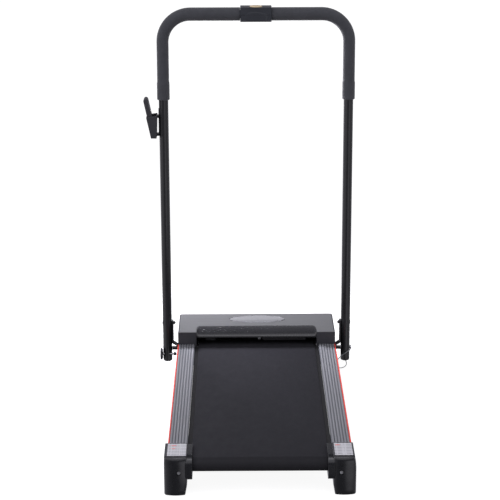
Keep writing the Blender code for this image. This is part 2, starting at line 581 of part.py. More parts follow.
# ------------------------------------------------------------------ hinge brackets and locks
def build_bracket(root, paint, steel, side, word):
    """A bent plate from the frame tube to the upright, with the pivot bolt and its nut."""
    flange_out, low, high = 0.2450, 0.0500, PIVOT_Z + 0.0075
    outline = [(PLATE_OUT, high), (PLATE_OUT, 0.0955), (flange_out, 0.0835), (flange_out, low),
               (FRAME_OUT + GAP, low), (FRAME_OUT + GAP, 0.0865), (PLATE_IN, 0.0985), (PLATE_IN, high)]
    plate = extruded(outline, "Y", HANDLE_Y - BRACKET_HALF, HANDLE_Y + BRACKET_HALF)
    bracket = solid(f"hinge_bracket_{word}", plate, paint, root, side=side)
    spacer = rod("X", (HANDLE_Y, LOCK_Z), 0.0060, flange_out - 0.001, PLATE_OUT)
    combine(bracket, "UNION", (spacer,), side=side)
    bolt_hole = rod("X", (HANDLE_Y, PIVOT_Z), PIVOT_BOLT_RADIUS + GAP, PLATE_IN - 0.01, PLATE_OUT + 0.001)
    cuts = [bolt_hole]
    if side > 0:
        cuts.append(block((flange_out + 0.001, HANDLE_Y - 0.0043, LOCK_Z - 0.0043),
                          (PLATE_OUT + 0.01, HANDLE_Y + 0.02, LOCK_Z + 0.0048)))
    combine(bracket, "DIFFERENCE", cuts, side=side)
    nut_in, nut_out = PLATE_IN - GAP - 0.0045, PLATE_IN - GAP
    head, tip = TUBE_OUT + GAP, nut_in - 0.0018
    bolt = [(tip, 0), (tip, PIVOT_BOLT_RADIUS - 0.0006), (tip + 0.0008, PIVOT_BOLT_RADIUS),
            (head, PIVOT_BOLT_RADIUS), (head, 0.0068), (head + 0.0006, 0.0060), (head + 0.0010, 0.0034),
            (head + 0.0010, 0)]
    solid(f"pivot_bolt_{word}", turned(bolt, "X", (HANDLE_Y, PIVOT_Z), MEDIUM), steel, root, side=side)
    hexagon = arc((HANDLE_Y, PIVOT_Z), 0.0055, 0, 300, 5)
    nut = solid(f"pivot_nut_{word}", extruded(hexagon, "X", nut_in, nut_out), steel, root, side=side)
    hole = rod("X", (HANDLE_Y, PIVOT_Z), PIVOT_BOLT_RADIUS + GAP, nut_in - 0.01, nut_out + 0.01)
    combine(nut, "DIFFERENCE", (hole,), side=side)


def build_knob(turn, plastic, centre):
    """The fluted clamping knob on the left, whose ball-ended stud runs through the upright."""
    inner, outer = TUBE_OUT + 0.0008, TUBE_OUT + 0.0085
    stud, ball = 0.0030, 0.0055
    ball_x = TUBE_IN - 0.0082

    def flutes(angle, along):
        return 1.0 - 0.05 * (1.0 - math.cos(8 * angle)) if along > inner + 0.001 else 1.0

    profile = [(ball_x - ball, 0)] + arc((ball_x, 0.0), ball, 150, 60, 3)
    profile += [(ball_x + math.sqrt(ball ** 2 - stud ** 2), stud), (inner, stud), (inner, 0.0120),
                (inner + 0.0015, 0.0180), (inner + 0.0025, 0.0190), (outer - 0.0015, 0.0190),
                (outer, 0.0175), (outer, 0)]
    knob = turned(profile, "X", (KNOB_Y, KNOB_Z), 32, ripple=flutes)
    solid("locking_knob", knob, plastic, turn, centre, side=-1)


def build_lock_pin(slide, steel, centre):
    """The quick-release pin on the right, through the upright and into its saddle."""
    tip, head = 0.2475, TUBE_OUT + GAP
    profile = [(tip, 0), (tip, 0.0028), (tip + 0.002, 0.0040), (head, 0.0040), (head, 0.0062),
               (head + 0.0042, 0.0062), (head + 0.0052, 0.0050), (head + 0.0052, 0)]
    solid("lock_pin", turned(profile, "X", (HANDLE_Y, LOCK_Z), MEDIUM), steel, slide, centre)


# ------------------------------------------------------------------ handle
def handle_path(turn_steps):
    """Half of the U, from its lower end on the right up to the middle of the bar."""
    corner = (UPRIGHT_X - BEND_RADIUS, BAR_Z - BEND_RADIUS)
    return arc(corner, BEND_RADIUS, 0, 90, turn_steps)


def build_handle(pivot, paint, foam, plastic, centre):
    """The uprights, the U tube inside its foam, and the sleeve in the middle of the bar."""
    bolt_hole, pin_hole = PIVOT_BOLT_RADIUS + 0.0004, 0.0044
    for side, word in ((1, "right"), (-1, "left")):
        tube = pipe("Z", (UPRIGHT_X, HANDLE_Y), UPRIGHT_RADIUS, UPRIGHT_BORE, UPRIGHT_LOW, UPRIGHT_TOP)
        upright = solid(f"upright_{word}", tube, paint, pivot, centre, side)
        cuts = [rod("X", (HANDLE_Y, PIVOT_Z), bolt_hole, TUBE_IN - 0.01, TUBE_OUT + 0.01)]
        if side > 0:
            cuts.append(rod("X", (HANDLE_Y, LOCK_Z), pin_hole, TUBE_IN - 0.01, TUBE_OUT + 0.01))
        else:
            cuts.append(rod("X", (KNOB_Y, KNOB_Z), 0.0034, TUBE_IN - 0.01, TUBE_OUT + 0.01, SMALL))
            cuts.append(block((TUBE_IN - 0.01, KNOB_Y - 0.02, KNOB_Z - 0.0045),
                              (TUBE_IN + 0.0090, KNOB_Y, KNOB_Z + 0.0045)))
        combine(upright, "DIFFERENCE", cuts, centre, side)
        stem = GRIP_TUBE_RADIUS
        plug = [(UPRIGHT_LOW - 0.0060, 0), (UPRIGHT_LOW - 0.0058, 0.0070),
                (UPRIGHT_LOW - 0.0040, 0.0120), (UPRIGHT_LOW - GAP, UPRIGHT_RADIUS),
                (UPRIGHT_LOW - GAP, stem), (UPRIGHT_LOW + 0.0100, stem), (UPRIGHT_LOW + 0.0100, 0)]
        solid(f"tube_plug_{word}", turned(plug, "Z", (UPRIGHT_X, HANDLE_Y), ROUND), plastic, pivot,
              centre, side)

    bend = handle_path(7)
    half = [(UPRIGHT_X, UPRIGHT_TOP - 0.060)] + bend
    path = [Vector((x, HANDLE_Y, z)) for x, z in half]
    path += [Vector((-x, HANDLE_Y, z)) for x, z in reversed(half)]
    count = len(path)
    u_tube = swept(path, [GRIP_TUBE_RADIUS] * count, [GRIP_TUBE_RADIUS - 0.0015] * count, SMALL)
    solid("handle_tube", u_tube, paint, pivot, centre)

    loose, over_joint = GRIP_TUBE_RADIUS + GAP, UPRIGHT_RADIUS + GAP
    step = UPRIGHT_TOP + GAP
    stations = [(UPRIGHT_X, FOAM_LOW, FOAM_JOINT - 0.0006, over_joint),
                (UPRIGHT_X, FOAM_LOW + 0.0012, FOAM_JOINT, over_joint),
                (UPRIGHT_X, step, FOAM_JOINT, over_joint), (UPRIGHT_X, step + 0.0010, FOAM_LEG, loose)]
    for i, (x, z) in enumerate(bend):
        swell = FOAM_LEG + (FOAM_BAR - FOAM_LEG) * i / (len(bend) - 1)
        stations.append((x, z, swell, loose))
    stations.append((SLEEVE_HALF + GAP, BAR_Z, FOAM_BAR, loose))
    for side, word in ((1, "right"), (-1, "left")):
        route = [Vector((x, HANDLE_Y, z)) for x, z, _, _ in stations]
        foam_half = swept(route, [s[2] for s in stations], [s[3] for s in stations], 20)
        solid(f"foam_grip_{word}", foam_half, foam, pivot, centre, side)

    for word, low, high in (("lower", SLEEVE_LOW, BAR_Z - GAP / 2),
                            ("upper", BAR_Z + GAP / 2, SLEEVE_TOP)):
        shell = block((-SLEEVE_HALF, HANDLE_Y - SLEEVE_DEPTH, low),
                      (SLEEVE_HALF, HANDLE_Y + SLEEVE_DEPTH, high))
        level = low if word == "lower" else high
        chamfer(shell, 0.0060 if word == "lower" else 0.0035,
                lambda edge, z=level: all(abs(v.co.z - z) < 1e-6 for v in edge.verts), 2)
        half_sleeve = solid(f"grip_sleeve_{word}", shell, plastic, pivot, centre)
        cuts = [rod("X", (HANDLE_Y, BAR_Z), loose, -0.06, 0.06, MEDIUM)]
        if word == "upper":
            cuts.append(rod("Z", (0, HANDLE_Y), BUTTON_RADIUS + 0.0004, BUTTON_SEAT,
                            SLEEVE_TOP + 0.01, ROUND))
        combine(half_sleeve, "DIFFERENCE", cuts, centre)


def build_start_button(press, cream, centre):
    """The round push button on top of the sleeve."""
    low, top = BUTTON_SEAT + 0.0023, SLEEVE_TOP + 0.0018
    profile = [(low, 0), (low, BUTTON_RADIUS), (top - 0.0010, BUTTON_RADIUS),
               (top, BUTTON_RADIUS - 0.0010), (top, 0)]
    solid("start_button", turned(profile, "Z", (0, HANDLE_Y), ROUND), cream, press, centre)


def build_pocket(pivot, plastic, paint, centre):
    """The wedge-shaped pocket for the remote, and the clip that holds it on the left upright."""
    edge = -TUBE_OUT
    low, wall = POCKET_LOW, 0.0020
    lean = math.tan(REMOTE_TILT)
    outer_low = edge - 0.0245
    outline = [(edge - 0.0075, low), (outer_low, low), (outer_low - lean * (0.8195 - low), 0.8195),
               (edge - 0.0055, 0.8245)]
    body = extruded(outline, "Y", HANDLE_Y - POCKET_HALF, HANDLE_Y + POCKET_HALF)
    pocket = solid("remote_pocket", body, plastic, pivot, centre)
    floor = POCKET_FLOOR - GAP
    outer_in = outer_low + wall / math.cos(REMOTE_TILT)
    inner = [(edge - 0.0075 - wall, floor), (outer_in - lean * (floor - low), floor),
             (outer_in - lean * (0.8400 - low), 0.8400), (edge - 0.0055 - wall, 0.8400)]
    inside = extruded(inner, "Y", HANDLE_Y - POCKET_HALF + wall, HANDLE_Y + POCKET_HALF - wall)
    combine(pocket, "DIFFERENCE", (inside,), centre)

    near, far = UPRIGHT_RADIUS + GAP, UPRIGHT_RADIUS + GAP + 0.0015
    hug = arc((-UPRIGHT_X, HANDLE_Y), near, 110, 250, 10) + arc((-UPRIGHT_X, HANDLE_Y), far, 250, 110, 10)
    clip = solid("pocket_clip", extruded(hug, "Z", CLIP_LOW, CLIP_HIGH), paint, pivot, centre)
    arms = [block((edge - reach, HANDLE_Y - 0.008, z), (edge - 0.0010, HANDLE_Y + 0.008, z + 0.0080))
            for reach, z in ((0.0068, CLIP_LOW), (0.0051, 0.8150))]
    combine(clip, "UNION", arms, centre)


def build_remote(slide, plastic, rubber):
    """The remote control and its buttons, drawn in the pocket's own leaning frame."""
    thick, width, length = REMOTE_SIZE
    outline = arc((0, length - thick / 2), thick / 2, 0, 180, 8) + [(-thick / 2, 0), (thick / 2, 0)]
    body = extruded(outline, "Y", -width / 2, width / 2)
    chamfer(body, 0.0020, lambda edge: abs(edge.verts[0].co.y - edge.verts[1].co.y) < 1e-6)
    remote = solid("remote_body", body, plastic, slide)
    face = -thick / 2
    wells = [rod("X", (0, z), 0.0044, face - 0.005, face + 0.0025, SMALL) for z in REMOTE_BUTTONS.values()]
    combine(remote, "DIFFERENCE", wells)
    for word, z in REMOTE_BUTTONS.items():
        press = empty(f"press_{word}", (0, 0, z), slide)
        cap = turned([(face - 0.0008, 0), (face - 0.0008, 0.0034), (face - 0.0003, 0.0040),
                      (face + 0.0012, 0.0040), (face + 0.0012, 0)], "X", (0, 0), SMALL)
        solid(f"remote_button_{word}", cap, rubber, press)


# ------------------------------------------------------------------ lanyard
def smooth_route(points, spacing):
    """Points on the Catmull-Rom curve through the route, about spacing apart."""
    points = [Vector(point) for point in points]
    ends = [2 * points[0] - points[1]] + points + [2 * points[-1] - points[-2]]
    route = []
    for before, start, end, after in zip(ends, ends[1:], ends[2:], ends[3:]):
        steps = max(1, round((end - start).length / spacing))
        for i in range(steps):
            t = i / steps
            route.append(0.5 * (2 * start + (end - before) * t
                                + (2 * before - 5 * start + 4 * end - after) * t ** 2
                                + (3 * start - before - 3 * end + after) * t ** 3))
    return route + [points[-1]]


def build_lanyard(pivot, wire, centre):
    """The thin coated wire that keeps the lock pin with the handle."""
    curve = bpy.data.curves.new("pin_lanyard", "CURVE")
    curve.dimensions = "3D"
    curve.bevel_depth = LANYARD_RADIUS
    curve.bevel_resolution = 2
    curve.use_fill_caps = True
    route = smooth_route(LANYARD_ROUTE, 0.0055)
    line = curve.splines.new("POLY")
    line.points.add(len(route) - 1)
    for point, place in zip(line.points, route):
        point.co = (*(place - Vector(centre)), 1.0)
    curve.materials.append(wire)
    made = bpy.data.objects.new("pin_lanyard", curve)
    bpy.context.scene.collection.objects.link(made)
    made.parent = pivot


# ------------------------------------------------------------------ the whole treadmill
def build():
    """Clear the scene and build every piece."""
    for old in list(bpy.data.objects):
        bpy.data.objects.remove(old)
    paint = material("black_paint", (0.020, 0.020, 0.022), 0.35)
    steel = material("bright_steel", (0.62, 0.62, 0.64), 0.30, 1.0)
    grey = material("grey_aluminium", (0.30, 0.31, 0.32), 0.40, 0.8)
    red = material("red_strip", (0.72, 0.05, 0.04), 0.45)
    brushed = material("brushed_panel", (0.42, 0.42, 0.44), 0.38, 0.7)
    plastic = material("satin_plastic", (0.028, 0.028, 0.031), 0.45)
    gloss = material("gloss_plastic", (0.020, 0.020, 0.023), 0.18)
    foam = material("grip_foam", (0.045, 0.046, 0.051), 0.90)
    rubber = material("rubber", (0.022, 0.022, 0.023), 0.80)
    belt = material("belt_fabric", (0.030, 0.030, 0.034), 0.75)
    board = material("deck_wood", (0.24, 0.16, 0.09), 0.60)
    glass = material("display_glass", (0.55, 0.56, 0.58), 0.08)
    circuit = material("circuit", (0.03, 0.16, 0.07), 0.50)
    cream = material("cream_button", (0.80, 0.72, 0.48), 0.35)
    wire = material("coated_wire", (0.72, 0.73, 0.75), 0.35)

    root = empty("treadmill", (MID_X, 0, 0))
    for side, word in ((1, "right"), (-1, "left")):
        build_frame(root, paint, side, word)
        build_foot_rail(root, grey, red, side, word)
        build_end_cap(root, plastic, side, word)
        build_bracket(root, paint, steel, side, word)
        place = (side * ADJUSTER_X, REAR_ROLLER_Y, ADJUSTER_Z)
        build_adjuster(empty(f"adjuster_turn_{word}", place, root), steel, side, word, place)
    rear_spin = empty("rear_spin", (0, REAR_ROLLER_Y, ROLLER_Z), root)
    front_spin = empty("front_spin", (0, FRONT_ROLLER_Y, ROLLER_Z), root)
    build_rollers(root, rear_spin, front_spin, steel)
    build_deck(root, rubber, board, paint, belt)
    build_cover(root, plastic, brushed, gloss, glass)
    build_motor(root, empty("motor_spin", (0, MOTOR_Y, MOTOR_Z), root), steel, plastic, rubber, circuit)
    build_base(root, paint, plastic, steel, rubber)
    build_inlet(root, plastic)

    pivot_at = Vector((0, HANDLE_Y, PIVOT_Z))
    pivot = empty("handle_pivot", pivot_at, root)
    build_handle(pivot, paint, foam, plastic, pivot_at)
    build_pocket(pivot, plastic, paint, pivot_at)
    build_lanyard(pivot, wire, pivot_at)
    for maker, name, finish, place in (
            (build_start_button, "button_press", cream, (0, HANDLE_Y, SLEEVE_TOP)),
            (build_knob, "knob_turn", plastic, (-TUBE_OUT, KNOB_Y, KNOB_Z)),
            (build_lock_pin, "pin_slide", steel, (TUBE_OUT, HANDLE_Y, LOCK_Z))):
        maker(empty(name, Vector(place) - pivot_at, pivot), finish, Vector(place))
    lean = math.tan(REMOTE_TILT)
    remote_x = -TUBE_OUT - 0.0245 + 0.0020 / math.cos(REMOTE_TILT) - lean * (POCKET_FLOOR - POCKET_LOW)
    remote_x += (REMOTE_SIZE[0] / 2 + GAP) / math.cos(REMOTE_TILT)
    remote_at = Vector((remote_x, HANDLE_Y, POCKET_FLOOR + REMOTE_SIZE[0] / 2 * math.sin(REMOTE_TILT)))
    build_remote(empty("remote_slide", remote_at - pivot_at, pivot, -REMOTE_TILT), plastic, rubber)


build()
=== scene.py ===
"""The look of the folding walking treadmill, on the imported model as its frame.

Everything is drawn in metres about the deck's own middle plane, x = 0, and moved by MID_X when it
becomes an object.  The user's end is at -Y, the motor at +Y, the floor at z = 0.
"""
from math import copysign, cos, hypot, pi, radians, sin, sqrt, tan

import bmesh
import bpy
from mathutils import Matrix, Vector, noise


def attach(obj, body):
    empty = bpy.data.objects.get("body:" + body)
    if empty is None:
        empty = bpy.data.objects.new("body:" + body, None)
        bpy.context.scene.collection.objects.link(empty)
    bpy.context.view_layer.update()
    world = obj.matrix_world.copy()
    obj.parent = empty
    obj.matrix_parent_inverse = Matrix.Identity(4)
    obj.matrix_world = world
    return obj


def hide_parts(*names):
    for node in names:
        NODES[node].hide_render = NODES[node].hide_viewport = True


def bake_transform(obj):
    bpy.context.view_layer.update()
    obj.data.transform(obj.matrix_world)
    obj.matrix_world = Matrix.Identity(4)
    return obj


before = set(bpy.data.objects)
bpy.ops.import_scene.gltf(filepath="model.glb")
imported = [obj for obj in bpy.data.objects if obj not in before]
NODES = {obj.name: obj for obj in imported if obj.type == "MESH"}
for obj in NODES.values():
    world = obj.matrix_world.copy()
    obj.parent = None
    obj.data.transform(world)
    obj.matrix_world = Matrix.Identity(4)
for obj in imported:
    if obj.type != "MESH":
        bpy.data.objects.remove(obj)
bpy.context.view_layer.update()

# ---- dimensions, as in the CAD model
MID_X = 0.0184
SIDES = ((1, "right"), (-1, "left"))
ROLLER_Z, REAR_Y, FRONT_Y = 0.083, -0.52, 0.39
BELT_HALF, BELT_OUT, BELT_IN = 0.18, 0.02, 0.018
RAIL_IN, RAIL_OUT, RAIL_TOP = 0.192, 0.2405, 0.1095
CAP_FRONT, CAP_REAR, CAP_TOP, CAP_OUT, EAR_LOW = -0.449, -0.546, 0.111, 0.2525, 0.045
ADJUSTER_X, ADJUSTER_Z = 0.213, 0.066
COVER_REAR, COVER_EDGE, COVER_TOP = 0.337, 0.515, 0.1465
PANEL_HALF, PANEL_TOP = 0.24, 0.149
SHROUD_HALF, SHROUD_Y, SHROUD_LOW, SHROUD_NEAR = 0.1862, 0.397, 0.1285, 0.3445
NOTCH_WIDE, NOTCH_DEEP = 0.013, 0.028
DISPLAY_AT, DISPLAY_RADII = (0.002, 0.461), (0.0885, 0.0345)
FOOT_AT, WHEEL_AT, INLET_AT = (0.19, 0.458), (0.52, 0.0215), (-0.12, 0.085)
HANDLE_Y, UPRIGHT_X, UPRIGHT_R = 0.397, 0.2785, 0.0143
UPRIGHT_LOW, UPRIGHT_TOP, UPRIGHT_BORE = 0.041, 0.921, 0.013
FOAM_LOW, FOAM_LEG, FOAM_JOINT, FOAM_BAR = 0.87, 0.0179, 0.019, 0.0198
BAR_Z, BEND = 1.127, 0.083
SLEEVE_HALF, SLEEVE_DEEP, SLEEVE_LOW, SLEEVE_TOP = 0.0465, 0.024, 1.106, 1.1495
BUTTON_R = 0.0185
NUT_IN, NUT_OUT, KNOB_R = 0.2544, 0.2589, 0.019
PIVOT_Z, LOCK_Z, KNOB_Y, KNOB_Z = 0.161, 0.077, 0.39, 0.06
TUBE_OUT, TUBE_IN = UPRIGHT_X + UPRIGHT_R, UPRIGHT_X - UPRIGHT_R
REMOTE_TILT = radians(12.0)
REMOTE_SIZE = (0.014, 0.04, 0.1105)          # thickness, width, length
REMOTE_BUTTONS = (("plus", 0.087), ("minus", 0.071))
POCKET_LOW, POCKET_FLOOR = 0.7545, 0.7655
LANYARD_R = 0.0011
LANYARD = [
    (0.28, 0.397, 0.0336), (0.2822, 0.3968, 0.029), (0.2836, 0.396, 0.023),
    (0.2815, 0.395, 0.016), (0.274, 0.3935, 0.0105), (0.265, 0.3915, 0.0092),
    (0.2565, 0.389, 0.013), (0.2525, 0.3865, 0.022), (0.253, 0.3845, 0.033),
    (0.257, 0.382, 0.0435), (0.264, 0.38, 0.052), (0.2725, 0.3794, 0.059),
    (0.281, 0.3798, 0.065), (0.2885, 0.3816, 0.07), (0.2942, 0.3846, 0.0738),
    (0.2965, 0.3888, 0.076)]


# ---- materials
class Surface:
    """A Principled material whose colour, roughness and bump come from noise in object space."""

    def __init__(self, name, colour, roughness, metallic=0.0, shades=0.12, patch=14, spread=0.05, grain=700,
                 relief=0.1, depth=0.0004, **sockets):
        self.made = bpy.data.materials.new(name)
        self.made.use_nodes = True
        self.tree = self.made.node_tree
        self.shader = self.tree.nodes["Principled BSDF"]
        self.shader.inputs["Metallic"].default_value = metallic
        for key, value in sockets.items():
            self.shader.inputs[key.replace("_", " ")].default_value = value
        self.place = self.node("ShaderNodeTexCoord").outputs["Object"]
        broad = self.noise(patch, 4.0)
        dark = [c * (1 - shades) for c in colour] + [1.0]
        light = [min(c * (1 + shades), 1.0) for c in colour] + [1.0]
        self.colour = self.mix(self.spread_of(broad, 0.3, 0.7, 0.0, 1.0), dark, light)
        self.join(self.colour, self.shader.inputs["Base Color"])
        mottle = self.noise([v * 5 + 3 for v in patch] if isinstance(patch, tuple) else patch * 5 + 3, 5.0)
        self.rough = self.spread_of(mottle, 0.3, 0.7, roughness - spread, roughness + spread)
        self.join(self.rough, self.shader.inputs["Roughness"])
        self.height = self.noise(grain, 3.0)
        self.bump = self.node("ShaderNodeBump")
        self.bump.inputs["Strength"].default_value = relief
        self.bump.inputs["Distance"].default_value = depth
        self.join(self.height, self.bump.inputs["Height"])
        self.join(self.bump.outputs["Normal"], self.shader.inputs["Normal"])

    def node(self, kind, **fields):
        made = self.tree.nodes.new(kind)
        for key, value in fields.items():
            setattr(made, key, value)
        return made

    def join(self, output, socket):
        self.tree.links.new(output, socket)

    def stretched(self, scale):
        """Object coordinates, scaled along each axis."""
        made = self.node("ShaderNodeMapping")
        made.inputs["Scale"].default_value = scale if isinstance(scale, (tuple, list)) else (scale,) * 3
        self.join(self.place, made.inputs["Vector"])
        return made.outputs["Vector"]

    def noise(self, scale, detail=3.0, rough=0.55):
        made = self.node("ShaderNodeTexNoise")
        made.inputs["Scale"].default_value = 1.0
        made.inputs["Detail"].default_value = detail
        made.inputs["Roughness"].default_value = rough
        self.join(self.stretched(scale), made.inputs["Vector"])
        return made.outputs["Fac"]

    def cells(self, scale):
        made = self.node("ShaderNodeTexVoronoi", feature="F1")
        made.inputs["Scale"].default_value = 1.0
        self.join(self.stretched(scale), made.inputs["Vector"])
        return made.outputs["Distance"]

    def axis(self, which):
        made = self.node("ShaderNodeSeparateXYZ")
        self.join(self.place, made.inputs["Vector"])
        return made.outputs[which]

    def math(self, operation, first, second=0.0):
        made = self.node("ShaderNodeMath", operation=operation)
        for socket, value in zip(made.inputs, (first, second)):
            if isinstance(value, (int, float)):
                socket.default_value = value
            else:
                self.join(value, socket)
        return made.outputs["Value"]

    def spread_of(self, value, low, high, to_low, to_high):
        made = self.node("ShaderNodeMapRange")
        self.join(value, made.inputs["Value"])
        for key, number in (("From Min", low), ("From Max", high), ("To Min", to_low), ("To Max", to_high)):
            made.inputs[key].default_value = number
        return made.outputs["Result"]

    def mix(self, factor, first, second):
        made = self.node("ShaderNodeMix", data_type="RGBA")
        self.join(factor, made.inputs["Factor"])
        for socket, value in ((made.inputs[6], first), (made.inputs[7], second)):
            if isinstance(value, (list, tuple)):
                socket.default_value = (*value[:3], 1.0)
            else:
                self.join(value, socket)
        return made.outputs[2]

    def recolour(self, factor, colour):
        """Paint another colour where factor is 1."""
        self.colour = self.mix(factor, self.colour, colour)
        self.join(self.colour, self.shader.inputs["Base Color"])

    def reheight(self, height):
        self.height = height
        self.join(height, self.bump.inputs["Height"])


def make_materials():
    """Every finish, by name."""
    all_made = {}

    def add(name, colour, roughness, **more):
        all_made[name] = Surface(name, colour, roughness, **more)
        return all_made[name]

    add("paint", (0.016, 0.016, 0.018), 0.3, grain=420, relief=0.1, depth=0.0006, patch=(9, 9, 5),
        shades=0.1, Coat_Weight=0.25, Coat_Roughness=0.22)
    add("chassis_paint", (0.02, 0.02, 0.022), 0.42, grain=500, relief=0.16, depth=0.0006)
    add("steel", (0.6, 0.6, 0.62), 0.26, metallic=1.0, grain=(90, 900, 900), relief=0.08, shades=0.06)
    add("black_steel", (0.06, 0.06, 0.062), 0.36, metallic=0.8, grain=900, relief=0.1, shades=0.1)
    add("turned_steel", (0.56, 0.56, 0.58), 0.3, metallic=1.0, grain=(1600, 60, 60), relief=0.1,
        shades=0.08)
    rail = add("rail", (0.235, 0.238, 0.255), 0.46, metallic=0.15, grain=(1500, 12, 900), relief=0.08,
               patch=(260, 5, 40), shades=0.08, spread=0.05)
    # The rail is painted darker below the rib floors: painted shade in the grooves between the ribs and on
    # the faces below them.
    low = rail.spread_of(rail.axis("Z"), 0.1077, 0.1091, 1.0, 0.0)
    rail.recolour(low, (0.13, 0.135, 0.15))
    add("red", (0.78, 0.06, 0.042), 0.28, grain=(300, 60, 300), relief=0.05, patch=(30, 8, 30), shades=0.07,
        Coat_Weight=0.6, Coat_Roughness=0.12)
    panel = add("brushed", (0.136, 0.138, 0.142), 0.42, metallic=0.45, grain=(26, 1900, 1900), relief=0.16,
                depth=0.0005, patch=(5, 260, 60), shades=0.1, spread=0.07)
    panel.recolour(panel.math("MULTIPLY", panel.noise((9, 900, 200), 3.0), 0.35), (0.18, 0.18, 0.185))
    add("satin", (0.04, 0.04, 0.046), 0.46, grain=1500, relief=0.22, depth=0.0003, patch=16, shades=0.12)
    add("cap", (0.0095, 0.01, 0.013), 0.26, grain=1100, relief=0.03, depth=0.0003, patch=22, shades=0.1,
        spread=0.05, Coat_Weight=0.4, Coat_Roughness=0.18)
    add("sleeve", (0.034, 0.037, 0.046), 0.4, grain=900, relief=0.1, depth=0.0003, patch=22, shades=0.1,
        spread=0.06)
    add("cap_top", (0.052, 0.052, 0.057), 0.56, grain=1800, relief=0.35, depth=0.0003)
    add("gloss", (0.0165, 0.0165, 0.0185), 0.28, grain=240, relief=0.006, patch=(6, 14, 14), shades=0.1,
        spread=0.05, Coat_Weight=0.35, Coat_Roughness=0.1)
    foam = add("foam", (0.055, 0.057, 0.066), 0.86, grain=520, relief=0.3, depth=0.0006, patch=26,
               shades=0.12, Sheen_Weight=0.35, Sheen_Roughness=0.5)
    pores = foam.cells(1500)
    foam.reheight(foam.math("ADD", foam.height, foam.spread_of(pores, 0.15, 0.55, -0.7, 0.0)))
    # The pits of the pores are painted darker: painted shade in the pores.
    foam.recolour(foam.spread_of(pores, 0.12, 0.35, 0.45, 0.0), (0.016, 0.016, 0.019))
    add("rubber", (0.021, 0.021, 0.022), 0.8, grain=900, relief=0.25, patch=40)
    belt = add("belt", (0.0205, 0.0202, 0.024), 0.7, grain=1200, relief=0.35, depth=0.0004, patch=(7, 3, 7),
               shades=0.07, spread=0.06, Specular_IOR_Level=0.22)
    weave = belt.math("MULTIPLY", belt.math("SINE", belt.math("MULTIPLY", belt.axis("X"), 2600.0)),
                      belt.math("SINE", belt.math("MULTIPLY", belt.axis("Y"), 2600.0)))
    belt.reheight(belt.math("ADD", belt.height, belt.math("MULTIPLY", weave, 0.35)))
    # The hollows of the weave are painted darker: painted shade between the threads.
    belt.recolour(belt.spread_of(weave, -0.6, 0.9, 0.3, 0.0), (0.016, 0.016, 0.018))
    board = add("board", (0.23, 0.155, 0.085), 0.62, grain=(500, 60, 500), relief=0.3, patch=(60, 6, 60),
                shades=0.2)
    board.recolour(board.spread_of(board.cells((700, 160, 700)), 0.1, 0.5, 0.6, 0.0), (0.13, 0.08, 0.042))
    board.recolour(board.spread_of(board.axis("Z"), 0.0996, 0.0998, 0.0, 1.0), (0.014, 0.014, 0.015))
    add("lens", (0.195, 0.197, 0.206), 0.14, metallic=0.3, grain=160, relief=0.02, patch=(30, 60, 60),
        shades=0.08, spread=0.03, Coat_Weight=1.0, Coat_Roughness=0.05)
    add("bezel", (0.52, 0.52, 0.54), 0.24, metallic=1.0, grain=900, relief=0.06, shades=0.05)
    circuit = add("circuit", (0.022, 0.13, 0.055), 0.45, grain=300, relief=0.1)
    tracks = circuit.math("SINE", circuit.math("MULTIPLY", circuit.axis("X"), 1500.0))
    circuit.recolour(circuit.spread_of(tracks, 0.55, 0.8, 0.0, 0.8), (0.05, 0.22, 0.1))
    circuit.recolour(circuit.spread_of(circuit.axis("Z"), 0.0556, 0.056, 0.0, 1.0), (0.045, 0.045, 0.05))
    add("cream", (0.93, 0.72, 0.4), 0.3, grain=600, relief=0.05, patch=60, shades=0.06, Coat_Weight=0.5,
        Coat_Roughness=0.1)
    wire = add("wire", (0.3, 0.31, 0.33), 0.34, grain=900, relief=0.2, patch=200, Coat_Weight=0.6,
               Coat_Roughness=0.15)
    strands = wire.math("SINE",
                        wire.math("MULTIPLY", wire.math("ADD", wire.axis("Z"), wire.axis("X")), 5200.0))
    wire.reheight(strands)
    label = add("label", (0.56, 0.56, 0.58), 0.42, grain=900, relief=0.04, shades=0.05, Coat_Weight=0.3,
                Coat_Roughness=0.2)
    rows = label.math("SINE", label.math("MULTIPLY", label.axis("Y"), 620.0))
    words = label.noise((330, 2, 2), 2.0)
    inked = label.math("MULTIPLY", label.spread_of(rows, 0.55, 0.75, 0.0, 1.0),
                       label.spread_of(words, 0.42, 0.47, 0.0, 0.85))
    label.recolour(inked, (0.1, 0.1, 0.12))
    add("label_mark", (0.72, 0.18, 0.16), 0.45, grain=900, relief=0.04, shades=0.05)
    add("brass", (0.62, 0.44, 0.18), 0.28, metallic=1.0, grain=900, relief=0.08, shades=0.06)
    return all_made


FINISH = make_materials()


# ---- shapes
def on_axis(axis, a, b, along):
    """A 3-D point from two coordinates across an axis and one along it."""
    return {"X": (along, a, b), "Y": (a, along, b), "Z": (a, b, along)}[axis]


def arc(centre, radii, start, end, steps):
    """Points of an arc, angles in degrees; radii is a number or a pair."""
    ra, rb = radii if isinstance(radii, tuple) else (radii, radii)
    angles = [radians(start + (end - start) * i / steps) for i in range(steps + 1)]
    return [(centre[0] + ra * cos(t), centre[1] + rb * sin(t)) for t in angles]


def quarter(steps, first=0):
    """Angles of a quarter turn."""
    return [pi / 2 * k / steps for k in range(first, steps + 1)]


def ellipse(centre, radii, count):
    return [(centre[0] + radii[0] * cos(t), centre[1] + radii[1] * sin(t))
            for t in (2 * pi * i / count for i in range(count))]


def curved(here, back, ahead, reach, steps):
    """The quadratic curve that replaces a corner; back and ahead lead to its neighbours."""
    first, last = here + back.normalized() * reach, here + ahead.normalized() * reach
    points = []
    for t in (k / steps for k in range(steps + 1)):
        point = (1 - t) ** 2 * first + 2 * t * (1 - t) * here + t ** 2 * last
        points.append((point.x, point.y))
    return points


